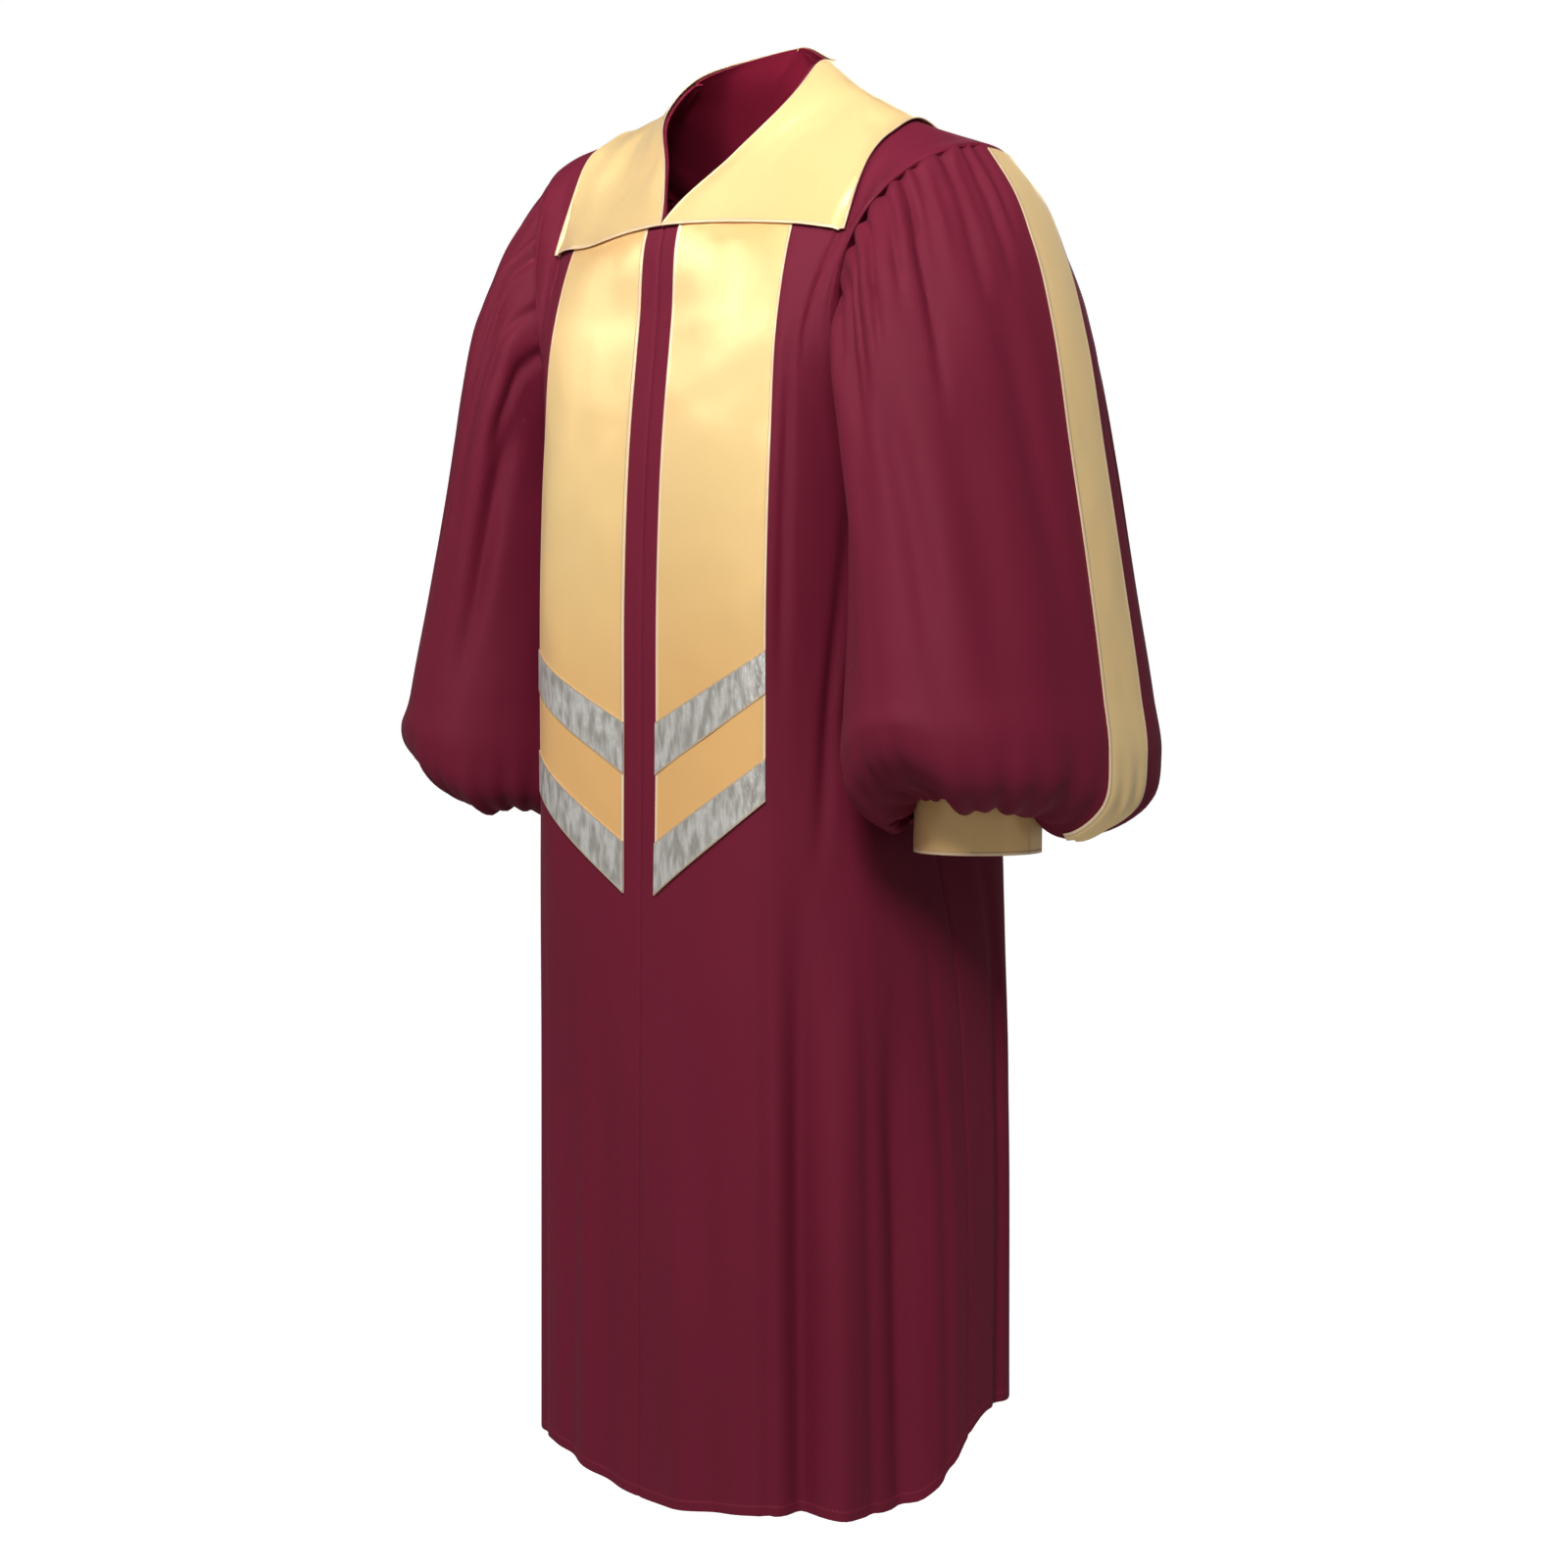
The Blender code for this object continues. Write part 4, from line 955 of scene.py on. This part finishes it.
# The cloth's length from the armhole, and a point on each of the sleeve's four lines there
SLEEVE_COLUMNS = ("name", "length", "outer", "front", "inner", "back")
SLEEVE_SECTIONS = (
    ("cap", .030,
     (.256, .018, -.134), (.197, -.146, -.235), (.1905, .010, -.366), (.194, .143, -.235)),
    ("head", .090,
     (.284, .014, -.187), (.213, -.162, -.275), (.191, .008, -.392), (.210, .140, -.275)),
    ("upper", .180,
     (.310, .008, -.262), (.230, -.170, -.335), (.189, .002, -.430), (.232, .130, -.335)),
    ("arm", .290,
     (.332, .004, -.370), (.247, -.174, -.420), (.187, -.006, -.485), (.249, .130, -.420)),
    ("elbow", .400,
     (.354, .000, -.478), (.261, -.182, -.505), (.184, -.012, -.545), (.261, .132, -.505)),
    ("full", .500,
     (.372, -.004, -.575), (.272, -.193, -.585), (.182, -.018, -.600), (.271, .140, -.585)),
    ("widest", .550,
     (.381, -.008, -.625), (.276, -.197, -.632), (.182, -.022, -.637), (.276, .142, -.630)),
    ("roll", .595,
     (.378, -.014, -.668), (.276, -.186, -.672), (.190, -.028, -.670), (.276, .126, -.668)),
    ("under", .635,
     (.352, -.028, -.690), (.272, -.150, -.692), (.206, -.038, -.686), (.270, .072, -.686)),
    ("gathers", .675,
     (.329, -.04, -.678), (.267, -.114, -.678), (.204, -.043, -.676), (.267, .022, -.676)),
    ("cuff", .705,
     (.3225, -.045, -.656), (.266, -.1015, -.656), (.2095, -.045, -.656), (.266, .0115, -.656)),
)
# name, degrees forwards from the outer line, half width in degrees, depth, cloth length from the
# armhole at which it is deepest and at which it has run out
SLEEVE_FOLDS = (
    ("head gather 1", 21, 5, -0.006, 0.03, 0.11),
    ("head gather 2", 33, 5, -0.006, 0.03, 0.14),
    ("head gather 3", 46, 6, -0.008, 0.04, 0.26),
    ("head gather 4", 61, 6, -0.006, 0.03, 0.12),
    ("front edge fold", 88, 7, -0.010, 0.05, 0.36),
    ("front edge roll", 103, 8, 0.006, 0.06, 0.42),
    ("back gather 1", -34, 6, -0.006, 0.03, 0.14),
    ("back gather 2", -50, 6, -0.006, 0.03, 0.24),
    ("back gather 3", -66, 6, -0.006, 0.03, 0.12),
    ("back edge fold", -84, 7, -0.009, 0.05, 0.34),
)
# name, degrees forwards from the outer line, half width in degrees, how much lower the puff hangs
SLEEVE_LOBES = (
    ("front lobe", 62, 20, 0.006),
    ("middle lobe", 24, 16, 0.004),
    ("stripe lobe", -8, 14, 0.008),
    ("back lobe", -58, 22, 0.007),
    ("inner lobe", 150, 26, 0.003),
)
LEFT_TUCKS = (("front tuck", 84, 34, -0.047), ("outer tuck", 28, 22, -0.021))
CUFF_GATHERS = 12
CUFF_GATHER_DEPTH = 0.0035
# name, degrees at the start and at the end, cloth lengths there, half width in degrees, depth
SLEEVE_CREASES = (
    ("head 1", 9, 11, -0.010, 0.10, 2.4, -0.0034),
    ("head 2", 15, 18, -0.010, 0.15, 2.2, -0.0040),
    ("head 3", 26, 30, -0.010, 0.17, 2.6, -0.0046),
    ("head 4", 39, 43, -0.010, 0.14, 2.6, -0.0042),
    ("head 5", 46, 50, -0.010, 0.27, 2.6, -0.0052),
    ("head 6", 55, 59, -0.010, 0.15, 2.6, -0.0044),
    ("head 7", 67, 71, -0.010, 0.19, 2.8, -0.0046),
    ("head 8", 77, 81, -0.010, 0.22, 3.0, -0.0050),
    ("head 9", 96, 97, -0.010, 0.16, 3.0, -0.0042),
    ("head 10", 112, 109, -0.010, 0.20, 3.4, -0.0044),
    ("head 11", -24, -27, -0.010, 0.14, 2.4, -0.0040),
    ("head 12", -35, -39, -0.010, 0.22, 2.6, -0.0046),
    ("head 13", -43, -48, -0.010, 0.15, 2.6, -0.0042),
    ("head 14", -58, -62, -0.010, 0.19, 2.8, -0.0046),
    ("head 15", -75, -80, -0.010, 0.17, 3.0, -0.0044),
    ("head 16", -98, -98, -0.010, 0.15, 3.2, -0.0040),
    ("front fall", 74, 60, 0.16, 0.56, 7.0, -0.0046),
    ("middle fall", 46, 38, 0.22, 0.58, 8.0, -0.0040),
    ("outer fall", 26, 15, 0.12, 0.50, 6.0, -0.0034),
    ("edge fall", 118, 112, 0.06, 0.54, 6.0, -0.0070),
    ("back fall", -34, -42, 0.18, 0.57, 6.0, -0.0044),
    ("back edge fall", -94, -98, 0.06, 0.52, 6.0, -0.0060),
    ("back middle fall", -66, -60, 0.22, 0.55, 6.0, -0.0042),
    ("inner fall", 158, 150, 0.10, 0.55, 7.0, -0.0050),
    ("inner back fall", -140, -134, 0.10, 0.53, 7.0, -0.0050),
)
# Small pleats drawn into the cuff, and how they drift: times round, how far, where it starts
CUFF_PLEATS = 31
CUFF_PLEAT_DEPTH = 0.0024
PLEAT_DRIFT = ((3, 1.4, 0.0), (7, 0.8, 1.0))
# How much higher the right sleeve's roll and cuff are
RIGHT_ROLL_RISE = 0.055
ROLL_RISE_TURN = 35
ROLL_RISE_LENGTH = (0.50, 0.60)
ROLL_RISE_END = (0.62, 0.705)
RIGHT_CUFF_RISE = 0.046
CUFF_RISE_LENGTH = (0.635, 0.705)
# The sleeve's mean radius at the armhole, how much it gains, and by what length
HEAD_RADIUS = 0.10
RADIUS_GAIN = 0.06
RADIUS_GAIN_LENGTH = 0.3
SLEEVE_CORNERS = 240
SLEEVE_LENGTH = [0.0] + [row[1] for row in SLEEVE_SECTIONS]
SLEEVE_AT = {row[0]: row[1] for row in SLEEVE_SECTIONS}
# Between which lengths the lobes and the cuff's gathers rise, and between which they fall
LOBES_RISE = (0.47, SLEEVE_AT["roll"])
LOBES_FALL = (SLEEVE_AT["under"], SLEEVE_AT["cuff"])
GATHERS_RISE = (0.52, SLEEVE_AT["gathers"])
GATHERS_FALL = (SLEEVE_AT["gathers"], SLEEVE_AT["cuff"])


def plain_sleeve(turn, length):
    """The sleeve's cloth before its folds, on the wearer's left."""
    points = []
    for start, name in zip(ARMHOLE_POINTS, SLEEVE_COLUMNS[2:]):
        position = SLEEVE_COLUMNS.index(name)
        line = [start] + [row[position] for row in SLEEVE_SECTIONS]
        points.append(curve(SLEEVE_LENGTH, line, length))
    ring, centre = four_point_ring(*points, turn)
    rounder = smooth_step(SLEEVE_AT["roll"], SLEEVE_AT["gathers"], length)
    square = smooth_step(*SQUARER, length) * (1 - rounder)
    swell = 1 + SLEEVE_SQUARENESS * square * (1 - np.cos(4 * np.radians(turn)))
    return centre + (ring - centre) * swell[:, None]


def sleeve_fold(turn, length, side):
    """How far the folds and gathers push the sleeve's cloth out, and how far its lobes hang."""
    out = crease_depth(SLEEVE_CREASES, (turn + 180) % 360 - 180, length)
    for _, centre, spread, depth, start, end in SLEEVE_FOLDS:
        strength = rise_and_fall((0.0, start), (start, end), length)
        out += depth * strength * bulge(turn, centre, spread, 360)
    gathered = rise_and_fall(GATHERS_RISE, GATHERS_FALL, length)
    angle = np.radians(turn)
    out += CUFF_GATHER_DEPTH * gathered * np.cos(CUFF_GATHERS * angle)
    drift = sum(reach * np.sin(times * angle + start) for times, reach, start in PLEAT_DRIFT)
    out += CUFF_PLEAT_DEPTH * gathered * np.sin(CUFF_PLEATS * angle + drift)
    reach = rise_and_fall(LOBES_RISE, LOBES_FALL, length)
    drop = np.zeros(len(turn))
    for _, centre, spread, depth in SLEEVE_LOBES + (LEFT_TUCKS if side > 0 else ()):
        drop += depth * reach * bulge(turn, centre, spread, 360)
    return out, drop


def sleeve_grid(turns, lengths, side):
    """A grid of the finished sleeve cloth, on one side of the wearer."""
    def folded(here, there):
        point = plain_sleeve(here, there)
        normal = normals_of(plain_sleeve, here, there, (-1000.0, 1000.0), (0.0, SLEEVE_AT["cuff"]))
        out, drop = sleeve_fold(here, there, side)
        point = point + normal * out[:, None]
        point[:, 2] -= drop
        if side < 0:
            outer_share = np.maximum(np.cos(np.radians(here - ROLL_RISE_TURN)), 0.0) ** 2
            roll = rise_and_fall(ROLL_RISE_LENGTH, ROLL_RISE_END, there)
            point[:, 2] += RIGHT_ROLL_RISE * outer_share * roll
            point[:, 2] += RIGHT_CUFF_RISE * smooth_step(*CUFF_RISE_LENGTH, there)
        return settle(point, side)

    turn, length = (grid.ravel() for grid in np.meshgrid(turns, lengths))
    normal = side * normals_of(folded, turn, length, (-1000.0, 1000.0), (0.0, SLEEVE_AT["cuff"]))
    shape = (len(lengths), len(turns), 3)
    radius = HEAD_RADIUS + RADIUS_GAIN * smooth_step(0.0, RADIUS_GAIN_LENGTH, length)
    return {
        "points": folded(turn, length).reshape(shape),
        "normals": normal.reshape(shape),
        "cloth": np.stack((np.radians(turn) * radius, length), axis=-1).reshape(*shape[:2], 2),
    }


sleeve_turns = np.linspace(180.0, -180.0, SLEEVE_CORNERS + 1)[:-1]
sleeve_rows = places(0.0, 3, 0.008, 24, 0.12, 36, 0.45, 44, 0.70, 2, SLEEVE_AT["cuff"])
for side, word in SIDES:
    grid = sleeve_grid(sleeve_turns, sleeve_rows, side)
    turned_in = {part: values[:1] for part, values in grid.items()}
    towards_body = np.array((-0.5 * ALLOWANCE * side, 0.0, 0.0))
    turned_in["points"] = turned_in["points"] - turned_in["normals"] * ALLOWANCE + towards_body
    grid = {part: np.concatenate((turned_in[part], values)) for part, values in grid.items()}
    length = grid["cloth"][..., 1]
    sleeve = sew(
        f"sleeve_{word}", maroon, grid, ROBE_WALL, pressed_in(length), 1.0, wraps=True
    )


# The sleeve stripes: gold satin strips laid on the sleeves' outer line from the shoulder down to
# the puff, rolling under with it, with the same turned and stitched edges as the front panels.
STRIPE_TURNS = (3.75, -18.75)
STRIPE_TOP = 0.004
STRIPE_END = 0.640
STRIPE_WARMTH = 0.05
stripe_turns = np.linspace(*STRIPE_TURNS, 25)
stripe_rows = places(STRIPE_TOP, 20, 0.12, 40, 0.45, 34, STRIPE_END)
for side, word in SIDES:
    grid = sleeve_grid(stripe_turns, stripe_rows, side)
    across = np.linalg.norm(np.diff(grid["points"], axis=1), axis=-1)
    across = np.concatenate((np.zeros((len(stripe_rows), 1)), np.cumsum(across, axis=1)), axis=1)
    stripe_edge = np.minimum(across, across[:, -1:] - across)
    stripe = sew(f"stripe_{word}", gold, grid, SATIN_WALL, LAID_ON, stripe_edge)
    give_values(stripe.data, "warmth_and_painted_shade", np.full(2 * across.size, STRIPE_WARMTH))


# The cuffs: plain bands of gold satin round the forearm, into which the sleeves are gathered. Each
# is turned up double, with a stitched lower edge and slight upright creases.
CUFF_CENTRE = (0.266, -0.045)
CUFF_RADIUS = 0.0545
CUFF_TOP = -0.652
CUFF_BOTTOM = -0.7105
CUFF_CORNERS = 96
CUFF_EDGE_STRIP = 0.004
# How many creases go round a cuff, how deep they are and how far they drift
CUFF_CREASES = 9
CUFF_CREASE_DEPTH = 0.0007
CUFF_CREASE_DRIFT = 1.5
CUFF_WARMTH = 0.25
cuff_angles = np.linspace(0.0, 2 * math.pi, CUFF_CORNERS + 1)[:-1]
cuff_heights = places(CUFF_BOTTOM, 3, CUFF_BOTTOM + CUFF_EDGE_STRIP, 16, CUFF_TOP)
angle, height = np.meshgrid(cuff_angles, cuff_heights)
outward = np.stack((np.cos(angle), np.sin(angle), np.zeros_like(angle)), axis=-1)
cuff_crease = np.sin(CUFF_CREASES * angle + CUFF_CREASE_DRIFT * np.sin(2 * angle))
cuff_crease *= CUFF_CREASE_DEPTH * smooth_step(CUFF_BOTTOM, CUFF_TOP, height)
for side, word in SIDES:
    points = outward * (CUFF_RADIUS + cuff_crease)[..., None]
    points[..., :2] += CUFF_CENTRE
    points[..., 2] = height
    points = settle(points.reshape(-1, 3), side).reshape(points.shape)
    points[..., 2] += RIGHT_CUFF_RISE if side < 0 else 0.0
    cuff_grid = {
        "points": points,
        "normals": outward * np.array((side, 1.0, 1.0)),
        "cloth": np.stack((angle * CUFF_RADIUS, height), axis=-1),
    }
    from_edge = height - CUFF_BOTTOM
    cuff = sew(f"cuff_{word}", gold, cuff_grid, SATIN_WALL, 0.0, from_edge, wraps=True)
    give_values(cuff.data, "warmth_and_painted_shade", np.full(2 * angle.size, CUFF_WARMTH))
